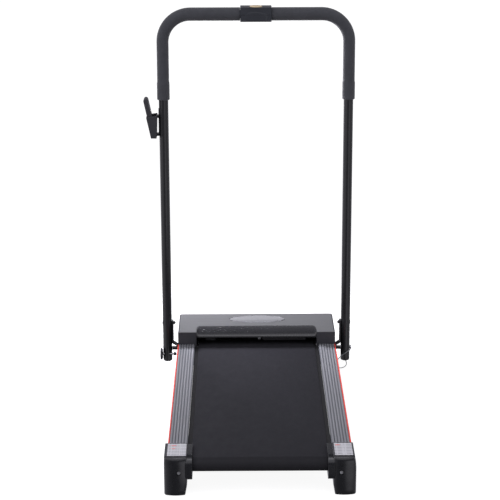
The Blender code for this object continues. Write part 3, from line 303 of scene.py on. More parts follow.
def rounded(corners, steps=5):
    """A closed outline with its corners rounded.  corners holds (a, b, radius)."""
    outline = []
    count = len(corners)
    for i, (a, b, radius) in enumerate(corners):
        here = Vector((a, b))
        if radius <= 0:
            outline.append((a, b))
            continue
        back, ahead = Vector(corners[i - 1][:2]) - here, Vector(corners[(i + 1) % count][:2]) - here
        half = back.angle(ahead) / 2
        reach = min(radius / tan(half), back.length * 0.49, ahead.length * 0.49)
        outline += curved(here, back, ahead, reach, steps)
    return outline


def loft(rings, capped=True, closed=False):
    """A skin through rings of 3-D points, each with the same number of points."""
    shape = bmesh.new()
    loops = [[shape.verts.new(point) for point in ring] for ring in rings]
    count = len(loops[0])
    pairs = list(zip(loops, loops[1:])) + ([(loops[-1], loops[0])] if closed else [])
    for ring, following in pairs:
        for i in range(count):
            j = (i + 1) % count
            shape.faces.new((ring[i], ring[j], following[j], following[i]))
    if capped and not closed:
        shape.faces.new(loops[0])
        shape.faces.new(loops[-1])
    return shape


def prism(outline, axis, start, end, stations=1):
    """An outline drawn out along an axis."""
    return loft([[on_axis(axis, a, b, start + (end - start) * i / stations) for a, b in outline]
                 for i in range(stations + 1)])


def soft_box(x0, x1, y0, y1, radius, steps):
    return rounded([(x0, y0, radius), (x1, y0, radius), (x1, y1, radius), (x0, y1, radius)], steps)


def box(low, high):
    outline = [(low[0], low[1]), (high[0], low[1]), (high[0], high[1]), (low[0], high[1])]
    return prism(outline, "Z", low[2], high[2])


def turned(profile, axis, centre, sides=64, closed=False, ripple=None):
    """A turned piece from (along, radius); its two ends close on the axis unless it is a closed ring."""
    rings = []
    for along, radius in profile:
        ring = []
        for i in range(sides):
            angle = 2 * pi * i / sides
            reach = radius * (ripple(angle, along) if ripple else 1.0)
            ring.append(on_axis(axis, centre[0] + reach * cos(angle), centre[1] + reach * sin(angle),
                                along))
        rings.append(ring)
    shape = loft(rings, closed=closed)
    bmesh.ops.remove_doubles(shape, verts=shape.verts, dist=1e-7)
    return shape


def softened(profile, radius=0.0006, steps=3, closed=False):
    """A turned profile with its corners rounded."""
    count = len(profile)
    result = []
    for i, (a, b) in enumerate(profile):
        here = Vector((a, b))
        back, ahead = Vector(profile[i - 1]) - here, Vector(profile[(i + 1) % count]) - here
        ends = i in (0, count - 1) and not closed
        if ends or b == 0 or min(back.length, ahead.length) < 1e-9:
            result.append((a, b))
            continue
        reach = min(radius, back.length * 0.45, ahead.length * 0.45)
        result += curved(here, back, ahead, reach, steps)
    return result


def swept(path, radii, sides):
    """A solid tube along a path of 3-D points, with a radius at each, kept from twisting."""
    path = [Vector(point) for point in path]
    rings = []
    side = None
    for i, point in enumerate(path):
        heading = (path[min(i + 1, len(path) - 1)] - path[max(i - 1, 0)]).normalized()
        if side is None:
            side = heading.orthogonal().normalized()
        side = (side - heading * side.dot(heading)).normalized()
        up = heading.cross(side)
        rings.append([point + radii[i] * (cos(t) * side + sin(t) * up)
                      for t in (2 * pi * k / sides for k in range(sides))])
    return loft(rings)


# ---- pieces
def piece(name, shape, finish, body, stands_for=(), side=1, bevel=0.0, segments=3, angle=35):
    """Turn a shape into an object that rides on a body.  side -1 mirrors it to the left."""
    if side < 0:
        bmesh.ops.scale(shape, vec=(-1, 1, 1), verts=shape.verts)
    bmesh.ops.translate(shape, vec=(MID_X, 0, 0), verts=shape.verts)
    bmesh.ops.recalc_face_normals(shape, faces=shape.faces)
    mesh = bpy.data.meshes.new(name)
    shape.to_mesh(mesh)
    shape.free()
    made = bpy.data.objects.new(name, mesh)
    bpy.context.scene.collection.objects.link(made)
    for each in finish if isinstance(finish, tuple) else (finish,):
        mesh.materials.append(FINISH[each].made)
    mesh.shade_smooth()
    mesh.set_sharp_from_angle(angle=radians(angle))
    if bevel:
        round_edges(made, bevel, segments)
    if body:
        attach(made, body)
    if stands_for:
        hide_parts(*stands_for)
    return made


def round_edges(made, width, segments=3, weld=False):
    """Bevel the sharp edges; a mesh read from the pack is welded first."""
    if weld:
        joined = made.modifiers.new("weld", "WELD")
        joined.merge_threshold = 0.00002
    change = made.modifiers.new("rounded edges", "BEVEL")
    change.width = width
    change.segments = segments
    change.limit_method = "ANGLE"
    change.angle_limit = radians(32)
    change.harden_normals = True
    change.use_clamp_overlap = True


def carve(made, shapes, side=1):
    """Cut shapes out of an object, and keep the result as its mesh."""
    for shape in shapes:
        tool = piece("tool", shape, "satin", None, side=side)
        change = made.modifiers.new("change", "BOOLEAN")
        change.operation = "DIFFERENCE"
        change.solver = "EXACT"
        change.object = tool
        view = bpy.context.evaluated_depsgraph_get()
        result = bpy.data.meshes.new_from_object(made.evaluated_get(view))
        made.modifiers.clear()
        made.data = result
        bpy.data.objects.remove(tool)
    made.data.shade_smooth()
    made.data.set_sharp_from_angle(angle=radians(35))


def refinish(node, finish, width=0.0, segments=2):
    """A CAD node that stays: a better material, and softer edges."""
    made = NODES[node]
    made.data.materials.clear()
    made.data.materials.append(FINISH[finish].made)
    if width:
        round_edges(made, width, segments, weld=True)


def by_height(made, level, index):
    """Give the second material to the faces that look up above a level."""
    for face in made.data.polygons:
        if face.center.z > level and face.normal.z > 0.8:
            face.material_index = index


# ---- camera, light and floor
CAMERA_AT, CAMERA_LENS, SENSOR = (-0.0316, -4.6646, 1.8917), 123.0, 36.0
CAMERA_YAW, CAMERA_PITCH, CAMERA_ROLL = 0.347, 16.459, -0.162       # degrees
LIGHT_TINT = (0.985, 0.975, 1.045)                                  # a slightly cool studio light
FLOOR_HALF, FLOOR_Z = 60.0, -0.0005
# name, place, aim, width and height, power in watts
LAMPS = (("left softbox", (-3.2, -1.6, 2.2), (0.0, 0.0, 0.4), (1.4, 2.4), 26.0),
         ("right softbox", (3.2, -1.4, 1.9), (0.0, 0.0, 0.4), (0.8, 2.4), 14.0),
         ("top softbox", (0.2, -1.6, 3.4), (0.0, 0.0, 0.0), (2.0, 1.0), 9.0),
         ("back softbox", (-0.28, 1.0, 0.8), (0.0, 0.1, 0.1), (0.5, 0.3), 28.0))
AMBIENT = 0.13
# direction, where a panel starts and is full by its cosine, strength
PANELS = (((-1.0, 0.0, 0.0), 0.25, 0.75, 0.5), ((1.0, 0.0, 0.0), 0.45, 0.85, 0.26),
          ((0.42, -0.87, -0.26), 0.93, 0.985, 0.7), ((0.0, -0.5, 0.87), 0.72, 0.96, 0.85))


def stage():
    """Camera, light and the white floor."""
    scene = bpy.context.scene
    scene.view_settings.view_transform = "Standard"
    lens = bpy.data.cameras.new("camera")
    lens.lens, lens.sensor_width, lens.clip_end = CAMERA_LENS, SENSOR, 200.0
    camera = bpy.data.objects.new("camera", lens)
    scene.collection.objects.link(camera)
    look = (Matrix.Rotation(-radians(CAMERA_YAW), 4, "Z")
            @ Matrix.Rotation(pi / 2 - radians(CAMERA_PITCH), 4, "X")
            @ Matrix.Rotation(radians(CAMERA_ROLL), 4, "Z"))
    camera.matrix_world = Matrix.Translation(CAMERA_AT) @ look
    scene.camera = camera
    studio_light(scene)

    ground = bpy.data.meshes.new("floor")
    corners = ((-1, -1), (1, -1), (1, 1), (-1, 1))
    ground.from_pydata([(x * FLOOR_HALF, y * FLOOR_HALF, FLOOR_Z) for x, y in corners], [], [(0, 1, 2, 3)])
    floor = bpy.data.objects.new("floor", ground)
    scene.collection.objects.link(floor)
    finish = Surface("floor", (0.3, 0.3, 0.3), 0.85, shades=0.01, spread=0.02, grain=60, relief=0.02,
                     Emission_Color=(1.0, 1.0, 1.0, 1.0), Emission_Strength=0.92, Specular_IOR_Level=0.0)
    ground.materials.append(finish.made)
    floor.visible_diffuse = floor.visible_glossy = False

    for name, place, aim, size, power in LAMPS:
        lamp = bpy.data.lights.new(name, "AREA")
        lamp.shape = "RECTANGLE"
        lamp.size, lamp.size_y = size
        lamp.energy = power
        lamp.color = LIGHT_TINT
        held = bpy.data.objects.new(name, lamp)
        scene.collection.objects.link(held)
        held.location = place
        held.rotation_euler = (Vector(aim) - Vector(place)).to_track_quat("-Z", "Y").to_euler()
        held.visible_camera = False
        held.visible_glossy = name != "back softbox"


def studio_light(scene):
    """A dim studio with soft white panels and a low sweep behind; the camera itself sees white."""
    world = bpy.data.worlds.new("studio")
    scene.world = world
    world.use_nodes = True
    nodes, links = world.node_tree.nodes, world.node_tree.links
    heading = nodes.new("ShaderNodeTexCoord").outputs["Generated"]

    def along(aim):
        made = nodes.new("ShaderNodeVectorMath")
        made.operation = "DOT_PRODUCT"
        links.new(heading, made.inputs[0])
        made.inputs[1].default_value = aim
        return made.outputs["Value"]

    def ramp(value, start, full, strength):
        made = nodes.new("ShaderNodeMapRange")
        made.interpolation_type = "SMOOTHSTEP"
        links.new(value, made.inputs["Value"])
        for key, number in (("From Min", start), ("From Max", full), ("To Min", 0.0), ("To Max", strength)):
            made.inputs[key].default_value = number
        return made.outputs["Result"]

    def combine(operation, first, second):
        made = nodes.new("ShaderNodeMath")
        made.operation = operation
        for socket, value in zip(made.inputs, (first, second)):
            if isinstance(value, float):
                socket.default_value = value
            else:
                links.new(value, socket)
        return made.outputs["Value"]

    total = AMBIENT
    for aim, start, full, strength in PANELS:
        total = combine("ADD", ramp(along(aim), start, full, strength), total)
    low = ramp(along((0.26, 0.0, 1.0)), 0.392, 0.352, 1.0)
    sweep = combine("MULTIPLY", low, ramp(along((0.0, 1.0, 0.0)), 0.2, 0.6, 1.0))
    sides = combine("ADD", ramp(along((1.0, 0.0, 0.0)), 0.12, -0.12, 0.12), 0.25)
    total = combine("ADD", total, combine("MULTIPLY", sweep, sides))
    lit = nodes["Background"]
    lit.inputs["Color"].default_value = (*LIGHT_TINT, 1.0)
    links.new(total, lit.inputs["Strength"])
    seen = nodes.new("ShaderNodeBackground")
    seen.inputs["Color"].default_value = (1.0, 1.0, 1.0, 1.0)
    either = nodes.new("ShaderNodeMixShader")
    links.new(nodes.new("ShaderNodeLightPath").outputs["Is Camera Ray"], either.inputs[0])
    links.new(lit.outputs["Background"], either.inputs[1])
    links.new(seen.outputs["Background"], either.inputs[2])
    links.new(either.outputs["Shader"], nodes["World Output"].inputs["Surface"])


# ---- lanyard
def smooth_route(points, spacing):
    """Points on the Catmull-Rom curve through the route, about spacing apart."""
    points = [Vector(point) for point in points]
    ends = [2 * points[0] - points[1]] + points + [2 * points[-1] - points[-2]]
    route = []
    for before, start, end, after in zip(ends, ends[1:], ends[2:], ends[3:]):
        steps = max(1, round((end - start).length / spacing))
        for i in range(steps):
            t = i / steps
            route.append(0.5 * (2 * start + (end - before) * t
                                + (2 * before - 5 * start + 4 * end - after) * t ** 2
                                + (3 * start - before - 3 * end + after) * t ** 3))
    return route + [points[-1]]


def lanyard():
    """The coated wire between the upright's plug and the lock pin, on a fixed smoothed route."""
    route = smooth_route(LANYARD, 0.0012)
    cord = piece("lanyard", swept(route, [LANYARD_R] * len(route), 20), "wire", None)
    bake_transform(cord)
    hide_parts("pin_lanyard")


# ---- deck
def belt():
    """The belt: a closed loop round both rollers, with thin hemmed edges."""
    def loop(radius):
        return (arc((REAR_Y, ROLLER_Z), radius, 270, 90, 32) + arc((FRONT_Y, ROLLER_Z), radius, 90, -90,
                                                                   32))
    rings = []
    hem = 0.0007
    for radius, x in ((BELT_OUT - hem, -BELT_HALF), (BELT_OUT - 0.0002, -BELT_HALF + 0.0002),
                      (BELT_OUT, -BELT_HALF + hem), (BELT_OUT, BELT_HALF - hem),
                      (BELT_OUT - 0.0002, BELT_HALF - 0.0002), (BELT_OUT - hem, BELT_HALF),
                      (BELT_IN, BELT_HALF), (BELT_IN, -BELT_HALF)):
        rings.append([(x, y, z) for y, z in loop(radius)])
    piece("belt", loft(rings, closed=True), "belt", "chassis", ("walking_belt",))


def rails():
    """Ribbed foot rails with rounded ribs, and the red strips."""
    pitch = (RAIL_OUT - RAIL_IN) / 6
    for side, word in SIDES:
        corners = []
        floor = RAIL_TOP - 0.0022
        for i in range(6):
            x = RAIL_IN + i * pitch
            corners += [(x, floor, 0.0003), (x + 0.24 * pitch, floor, 0.0004),
                        (x + 0.34 * pitch, RAIL_TOP, 0.0008), (x + 0.9 * pitch, RAIL_TOP, 0.0008)]
        corners += [(RAIL_OUT, floor, 0.0004), (RAIL_OUT, 0.0982, 0), (0.244, 0.0982, 0.0005),
                    (0.244, 0.045, 0.0006), (0.2403, 0.045, 0.0004), (0.2403, 0.0958, 0),
                    (0.233, 0.0958, 0.0003), (0.233, 0.0995, 0), (0.2042, 0.0995, 0),
                    (0.2042, 0.0958, 0.0003), (0.2012, 0.0958, 0.0003), (0.2012, 0.0995, 0),
                    (RAIL_IN, 0.0995, 0.0004)]
        piece(f"foot_rail_{word}_ribbed",
              prism(rounded(corners, 3), "Y", CAP_FRONT + 0.0003, COVER_REAR - 0.0003, 12), "rail",
              "chassis", (f"foot_rail_{word}",), side, angle=25)
        strip = rounded([(0.2408, 0.0985, 0.0005), (0.2445, 0.0985, 0.0006), (0.2445, RAIL_TOP, 0.0012),
                         (0.2408, RAIL_TOP, 0.0006)], 4)
        piece(f"trim_strip_{word}_glossy", prism(strip, "Y", CAP_FRONT + 0.0003, COVER_REAR - 0.0003),
              "red", "chassis", (f"trim_strip_{word}",), side, angle=25)


def end_caps():
    """Rear caps: bowed rear face, large upright corners, undercut inner foot, ear round the roller."""
    for side, word in SIDES:
        rings = []
        levels = [(0.0, 0.006), (0.0012, 0.003), (0.004, 0.001), (0.008, 0.0), (0.016, 0.0), (0.03, 0.0),
                  (0.045, 0.0), (0.06, 0.0), (0.075, 0.0), (0.09, 0.0), (0.0985, 0.0), (0.102, 0.001),
                  (0.105, 0.0028), (0.1072, 0.0045), (0.1078, 0.0052), (0.1102, 0.0088), (0.1107, 0.0098),
                  (CAP_TOP, 0.0108)]
        for z, pull in levels:
            lean = max(0.0, (z - 0.078) / 0.033)
            out = CAP_OUT - (0.0046 if side > 0 else 0.001) * lean ** 1.4
            out -= 0.002 if z == 0 else 0.0006 if z < 0.002 else 0.0
            inner = RAIL_IN + 0.0052 * max(0.0, 1.0 - z / 0.03) + (0.001 if z == 0 else 0.0)
            if z > 0.1104:
                shrink = (z - 0.1104) / 0.0006 * 0.0008
                out, inner = out - shrink, inner + shrink
            rear = CAP_REAR + pull + max(0.0, 0.045 - z) * 0.05
            bow = 0.003
            corner_out, corner_in = 0.0105 - 0.0055 * min(1.0, lean), 0.005
            section = [(out, CAP_FRONT)]
            section += arc((out - corner_out, rear + bow + corner_out), corner_out, 0, -72, 7)
            for k in range(1, 8):
                t = k / 8
                x = out - corner_out + (inner + corner_in - out + corner_out) * t
                section.append((x, rear + bow * (2 * t - 1) ** 2))
            section += arc((inner + corner_in, rear + bow + corner_in), corner_in, -108, -180, 5)
            section.append((inner, CAP_FRONT))
            rings.append([(x, y, z) for x, y in section])
        cap = piece(f"end_cap_{word}_moulded", loft(rings), ("cap", "cap_top"), "chassis",
                    (f"end_cap_{word}",), side, angle=24)
        hole = turned(softened([(CAP_REAR - 0.01, 0.0), (CAP_REAR - 0.01, 0.0062), (-0.5375, 0.0062),
                                (-0.5375, 0.0)]), "Y", (ADJUSTER_X, ADJUSTER_Z), 40)
        carve(cap, (hole,), side=side)
        by_height(cap, 0.11, 1)
        cap.data.set_sharp_from_angle(angle=radians(24))

        d_shape = [(CAP_FRONT - 0.001, EAR_LOW), (CAP_FRONT - 0.001, ROLLER_Z + 0.0265)]
        d_shape += arc((REAR_Y, ROLLER_Z), 0.0265, 90, 180, 24)
        d_shape += arc((REAR_Y - 0.0135, EAR_LOW + 0.013), 0.013, 180, 270, 12)
        ear = piece(f"end_cap_{word}_ear", prism(d_shape, "X", 0.178, RAIL_IN + 0.003), "cap", "chassis",
                    (), side)
        way = [(CAP_FRONT + 0.02, ROLLER_Z - 0.0228), (CAP_FRONT + 0.02, ROLLER_Z + 0.0228)]
        way += arc((REAR_Y, ROLLER_Z), 0.0228, 90, 270, 40)
        carve(ear, (prism(way, "X", 0.16, 0.1866),), side=side)
        round_edges(ear, 0.0009, 3)

        sheet = ((0.1965, 0.2436, -0.5335, -0.4525) if side > 0 else (0.1945, 0.244, -0.5335, -0.452))
        piece(f"cap_label_{word}",
              prism(soft_box(*sheet, 0.0012, 4), "Z", CAP_TOP - 0.0002, CAP_TOP + 0.00025), "label",
              "chassis", (), side)
        # one red bar on the right label, two on the left
        bars = ((0.2295 - 0.021, -0.466, 0.0085),) if side > 0 else ((0.2295, -0.466, 0.0085),
                                                                     (0.2295, -0.486, 0.006))
        for k, (x, y, wide) in enumerate(bars):
            mark = soft_box(x - wide, x + wide / 2, y - 0.0022, y + 0.0022, 0.001, 3)
            piece(f"label_mark_{word}_{k}", prism(mark, "Z", CAP_TOP, CAP_TOP + 0.00035), "label_mark",
                  "chassis", (), side)

        head, seat = -0.544, -0.5388
        profile = softened([(head + 0.0005, 0.0), (head, 0.0046), (seat, 0.005), (seat, 0.003),
                            (-0.501, 0.003), (-0.5, 0.0022), (-0.5, 0.0)], 0.0004)
        screw = piece(f"adjuster_{word}_screw", turned(profile, "Y", (ADJUSTER_X, ADJUSTER_Z), 48),
                      "turned_steel", f"adjuster_{word}", (f"adjuster_screw_{word}",), side)
        key = prism(arc((ADJUSTER_X, ADJUSTER_Z), 0.0027, 0, 300, 5), "Y", head - 0.002, head + 0.003)
        carve(screw, (key,), side=side)


def rollers():
    """Rollers, shafts and what else sits inside the deck."""
    half = 0.1842
    for word, y, body, node in (("rear", REAR_Y, "rear_roller_body", "rear_roller"),
                                ("front", FRONT_Y, "front_roller_body", "front_roller")):
        profile = [(-half, 0.0064), (-half, 0.015), (-half + 0.0015, 0.0177), (half - 0.0015, 0.0177)]
        if word == "front":
            profile += [(0.1865, 0.0177), (0.1865, 0.0265), (0.1875, 0.0265), (0.1876, 0.025)]
            for k in range(6):
                x = 0.188 + 0.0017 * k
                profile += [(x, 0.025), (x + 0.0008, 0.0238)]
            profile += [(0.1985, 0.025), (0.1985, 0.0064)]
        else:
            profile += [(half, 0.015), (half, 0.0064)]
        piece(f"{word}_roller_turned",
              turned(softened(profile, 0.0004, 2, closed=True), "X", (y, ROLLER_Z), 72, closed=True),
              "turned_steel", body, (node,))
    for node, finish, width in (("rear_roller_shaft", "steel", 0.0004),
                                ("front_roller_shaft", "steel", 0.0004),
                                ("frame_rail_left", "chassis_paint", 0.0015),
                                ("frame_rail_right", "chassis_paint", 0.0015),
                                ("cross_member_rear", "chassis_paint", 0.0012),
                                ("cross_member_front", "chassis_paint", 0.0012),
                                ("deck_board", "board", 0.0008), ("deck_cushion_left", "rubber", 0.0008),
                                ("deck_cushion_right", "rubber", 0.0008), ("motor", "satin", 0.0006),
                                ("motor_rotor", "turned_steel", 0.0), ("drive_belt", "rubber", 0.0003),
                                ("control_board", "circuit", 0.0002),
                                ("bottom_pan", "chassis_paint", 0.0004), ("wheel_axle", "steel", 0.0004),
                                ("handle_tube", "paint", 0.0), ("power_inlet", "satin", 0.0004),
                                ("rocker_switch", "gloss", 0.0006)):
        refinish(node, finish, width)


# ---- motor end
def notch_corner(x):
    """How far the shroud's back edge comes forward near its two ends."""
    t = max(0.0, (abs(x) - (SHROUD_HALF - NOTCH_WIDE)) / NOTCH_WIDE)
    return NOTCH_DEEP * (1 - sqrt(max(0.0, 1 - min(t, 1.0) ** 2)))


def cover():
    """Motor cover, its brushed top panel, the shroud over the belt and the oval display."""
    refinish("motor_cover", "satin", 0.0012, 3)

    edge = [(PANEL_HALF, COVER_REAR), (PANEL_HALF, COVER_EDGE), (-PANEL_HALF, COVER_EDGE),
            (-PANEL_HALF, COVER_REAR)]
    inner, back = SHROUD_HALF + 0.0003, SHROUD_Y + 0.0003
    corner = (NOTCH_WIDE, NOTCH_DEEP)
    notch = [(-inner, COVER_REAR), (-inner, back - NOTCH_DEEP)]
    notch += arc((-inner + NOTCH_WIDE, back - NOTCH_DEEP), corner, 180, 90, 14)[1:]
    notch += arc((inner - NOTCH_WIDE, back - NOTCH_DEEP), corner, 90, 0, 14)
    notch += [(inner, COVER_REAR)]
    sheet = piece("cover_top_brushed", prism(edge + notch, "Z", COVER_TOP + 0.0003, PANEL_TOP), "brushed",
                  "chassis", ("cover_top_panel",))
    hx, hy = DISPLAY_RADII
    oval = ellipse(DISPLAY_AT, (hx + 0.0003, hy + 0.0003), 96)
    carve(sheet, (prism(oval, "Z", COVER_TOP - 0.01, PANEL_TOP + 0.01),))
    round_edges(sheet, 0.0007, 3)

    rings = []
    count = 120
    for i in range(count + 1):
        x = -SHROUD_HALF + 2 * SHROUD_HALF * i / count
        end = SHROUD_Y - notch_corner(x)
        ring = [(x, SHROUD_NEAR + (end - SHROUD_NEAR) * (1 - cos(t)), SHROUD_LOW + 0.02 * sin(t))
                for t in quarter(18)]
        start = SHROUD_NEAR + 0.003
        ring += [(x, start + (end - start) * (1 - cos(t)), SHROUD_LOW + 0.017 * sin(t))
                 for t in reversed(quarter(18))]
        rings.append(ring)
    piece("shroud_polished", loft(rings), "gloss", "chassis", ("belt_shroud",))
    for side, word in SIDES:
        cheek = [(SHROUD_NEAR, SHROUD_LOW)]
        cheek += [(SHROUD_NEAR + 0.0245 * (1 - cos(t)), SHROUD_LOW + 0.02 * sin(t)) for t in quarter(12, 1)]
        cheek += [(SHROUD_Y, SHROUD_LOW + 0.0195), (SHROUD_Y, SHROUD_LOW)]
        piece(f"shroud_cheek_{word}", prism(cheek, "X", SHROUD_HALF - 0.003, SHROUD_HALF), "gloss",
              "chassis", (), side)

    levels = [(1.0, COVER_TOP + 0.0003), (1.0, PANEL_TOP + 0.0002), (0.985, PANEL_TOP + 0.0006)]
    for k in range(1, 12):
        scale = 0.985 * (1 - k / 12)
        levels.append((scale, PANEL_TOP + 0.0006 + 0.0012 * (1 - scale ** 2)))
    rings = [[(x, y, z) for x, y in ellipse(DISPLAY_AT, (hx * scale, hy * scale), 120)] for scale,
             z in levels]
    piece("display_window", loft(rings), "lens", "chassis", ("display_lens",), angle=60)
    path = [(x, y, PANEL_TOP + 0.0004) for x, y in ellipse(DISPLAY_AT, (hx - 0.0012, hy - 0.0012), 144)]
    rim = swept(path + path[:1], [0.0011] * 145, 12)
    piece("display_rim", rim, "bezel", "chassis")


def base():
    """Feet, wheels and the mains inlet's pins."""
    for side, word in SIDES:
        foot = softened([(0.0, 0.0), (0.0, 0.016), (0.003, 0.018), (0.014, 0.018), (0.016, 0.015),
                         (0.018, 0.012), (0.0412, 0.012), (0.0412, 0.0)], 0.0008)
        piece(f"front_foot_{word}_moulded", turned(foot, "Z", FOOT_AT, 56), "rubber", "chassis",
              (f"front_foot_{word}",), side)
        start, end = 0.1855, 0.201
        wheel = [(start, 0.0045), (start, 0.007), (start + 0.0014, 0.0078), (start + 0.0014, 0.013),
                 (start, 0.0142), (start, 0.016), (start + 0.002, 0.018), (end - 0.002, 0.018),
                 (end, 0.016), (end, 0.0142), (end - 0.0014, 0.013), (end - 0.0014, 0.0078), (end, 0.007),
                 (end, 0.0045)]
        piece(f"wheel_{word}_moulded",
              turned(softened(wheel, 0.0006, 3, closed=True), "X", WHEEL_AT, 64, closed=True), "satin",
              f"wheel_{word}", (f"transport_wheel_{word}",), side)
    for k, (dx, dz) in enumerate(((-0.0065, -0.0012), (0.0065, -0.0012), (0.0, 0.0026))):
        x, z = INLET_AT[0] + dx, INLET_AT[1] + dz
        pin = box((x - 0.001, 0.527, z - 0.002), (x + 0.001, 0.543, z + 0.002))
        piece(f"inlet_pin_{k}", pin, "brass", "chassis", bevel=0.0004)


# ---- hinges
def hinges():
    """Brackets, pivot bolts and nuts, the locking knob with its stud, and the lock pin."""
    for side, word in SIDES:
        refinish(f"hinge_bracket_{word}", "paint", 0.0007, 3)
        head = TUBE_OUT + 0.0003
        bolt = [(NUT_IN - 0.0018, 0.0), (NUT_IN - 0.0018, 0.0024), (NUT_IN - 0.001, 0.003), (head, 0.003),
                (head, 0.0068)]
        bolt += [(head + 0.001 * sin(t), 0.0068 * cos(t)) for t in quarter(8, 1)]
        piece(f"pivot_bolt_{word}_dome", turned(bolt, "X", (HANDLE_Y, PIVOT_Z), 48), "black_steel",
              "chassis", (f"pivot_bolt_{word}",), side)
        rings = []
        for x, radius in ((NUT_IN, 0.0048), (NUT_IN + 0.0006, 0.0055), (NUT_OUT - 0.0006, 0.0055),
                          (NUT_OUT, 0.0048)):
            rings.append([(x, y, z) for y, z in arc((HANDLE_Y, PIVOT_Z), radius, 0, 300, 5)])
        piece(f"pivot_nut_{word}_hex", loft(rings), "black_steel", "chassis",
              (f"pivot_nut_{word}",), side, bevel=0.0003)

    inner, outer = TUBE_OUT + 0.0008, TUBE_OUT + 0.0085

    def flutes(angle, along):
        return 1.0 - 0.045 * (1.0 - cos(8 * angle)) if along > inner + 0.0008 else 1.0

    knob = [(inner, 0.0), (inner, 0.012), (inner + 0.001, 0.017), (inner + 0.002, 0.0188),
            (inner + 0.0028, KNOB_R), (outer - 0.002, KNOB_R), (outer - 0.0008, 0.0185),
            (outer - 0.0001, 0.017), (outer, 0.015), (outer - 0.0006, 0.0125), (outer - 0.0006, 0.0)]
    piece("knob_fluted", turned(softened(knob, 0.0008), "X", (KNOB_Y, KNOB_Z), 144, ripple=flutes), "satin",
          "knob", ("locking_knob",), -1, angle=50)
    ball_x, ball = TUBE_IN - 0.0082, 0.0055
    stud = softened([(ball_x, 0.0), (ball_x, 0.003), (inner + 0.001, 0.003), (inner + 0.001, 0.0)], 0.0003)
    piece("knob_stud", turned(stud, "X", (KNOB_Y, KNOB_Z), 40), "steel", "knob", (), -1)
    tip = [(ball_x - ball * cos(t), ball * sin(t)) for t in (radians(6 * k) for k in range(0, 23))]
    piece("knob_stud_ball", turned(tip, "X", (KNOB_Y, KNOB_Z), 40), "satin", "knob", (),
          -1)

    head = TUBE_OUT + 0.0003
    pin = softened([(0.2475, 0.0), (0.2475, 0.0026), (0.2498, 0.004), (head, 0.004), (head, 0.0062),
                    (head + 0.0042, 0.0062), (head + 0.0052, 0.0048), (head + 0.0052, 0.0)], 0.0006)
    piece("lock_pin_turned", turned(pin, "X", (HANDLE_Y, LOCK_Z), 48), "steel", "pin",
          ("lock_pin",))


# ---- handle
def uprights():
    """The two round tubes, cut for their bolts, and the plugs in their lower ends."""
    for side, word in SIDES:
        r, bore = UPRIGHT_R, UPRIGHT_BORE
        profile = [(UPRIGHT_LOW, bore), (UPRIGHT_LOW, r - 0.0004), (UPRIGHT_LOW + 0.0004, r)]
        profile += [(UPRIGHT_LOW + 0.05 + 0.83 * k / 12, r) for k in range(12)]
        profile += [(UPRIGHT_TOP - 0.0004, r), (UPRIGHT_TOP, r - 0.0004), (UPRIGHT_TOP, bore)]
        tube = piece(f"upright_{word}_tube", turned(profile, "Z", (UPRIGHT_X, HANDLE_Y), 96, closed=True),
                     "paint", "handle", (f"upright_{word}",), side)
        through = [(TUBE_IN - 0.01, 0.0), (TUBE_IN - 0.01, 0.0044), (TUBE_OUT + 0.01, 0.0044),
                   (TUBE_OUT + 0.01, 0.0)]
        narrow = [(x, radius * 0.0034 / 0.0044) for x, radius in through]
        cuts = [turned(narrow, "X", (HANDLE_Y, PIVOT_Z), 40)]
        if side > 0:
            cuts.append(turned(through, "X", (HANDLE_Y, LOCK_Z), 40))
        else:
            cuts.append(turned(narrow, "X", (KNOB_Y, KNOB_Z), 40))
            cuts.append(box((TUBE_IN - 0.01, KNOB_Y - 0.02, KNOB_Z - 0.0045),
                            (TUBE_IN + 0.009, KNOB_Y, KNOB_Z + 0.0045)))
        carve(tube, cuts, side=side)
        plug = [(UPRIGHT_LOW - 0.006, 0.0), (UPRIGHT_LOW - 0.006, 0.006), (UPRIGHT_LOW - 0.0054, 0.0098),
                (UPRIGHT_LOW - 0.004, 0.0124), (UPRIGHT_LOW - 0.0022, 0.0138),
                (UPRIGHT_LOW - 0.0003, 0.0143), (UPRIGHT_LOW - 0.0003, 0.0127),
                (UPRIGHT_LOW + 0.01, 0.0127), (UPRIGHT_LOW + 0.01, 0.0)]
        piece(f"tube_plug_{word}_domed", turned(plug, "Z", (UPRIGHT_X, HANDLE_Y), 64), "satin", "handle",
              (f"tube_plug_{word}",), side)


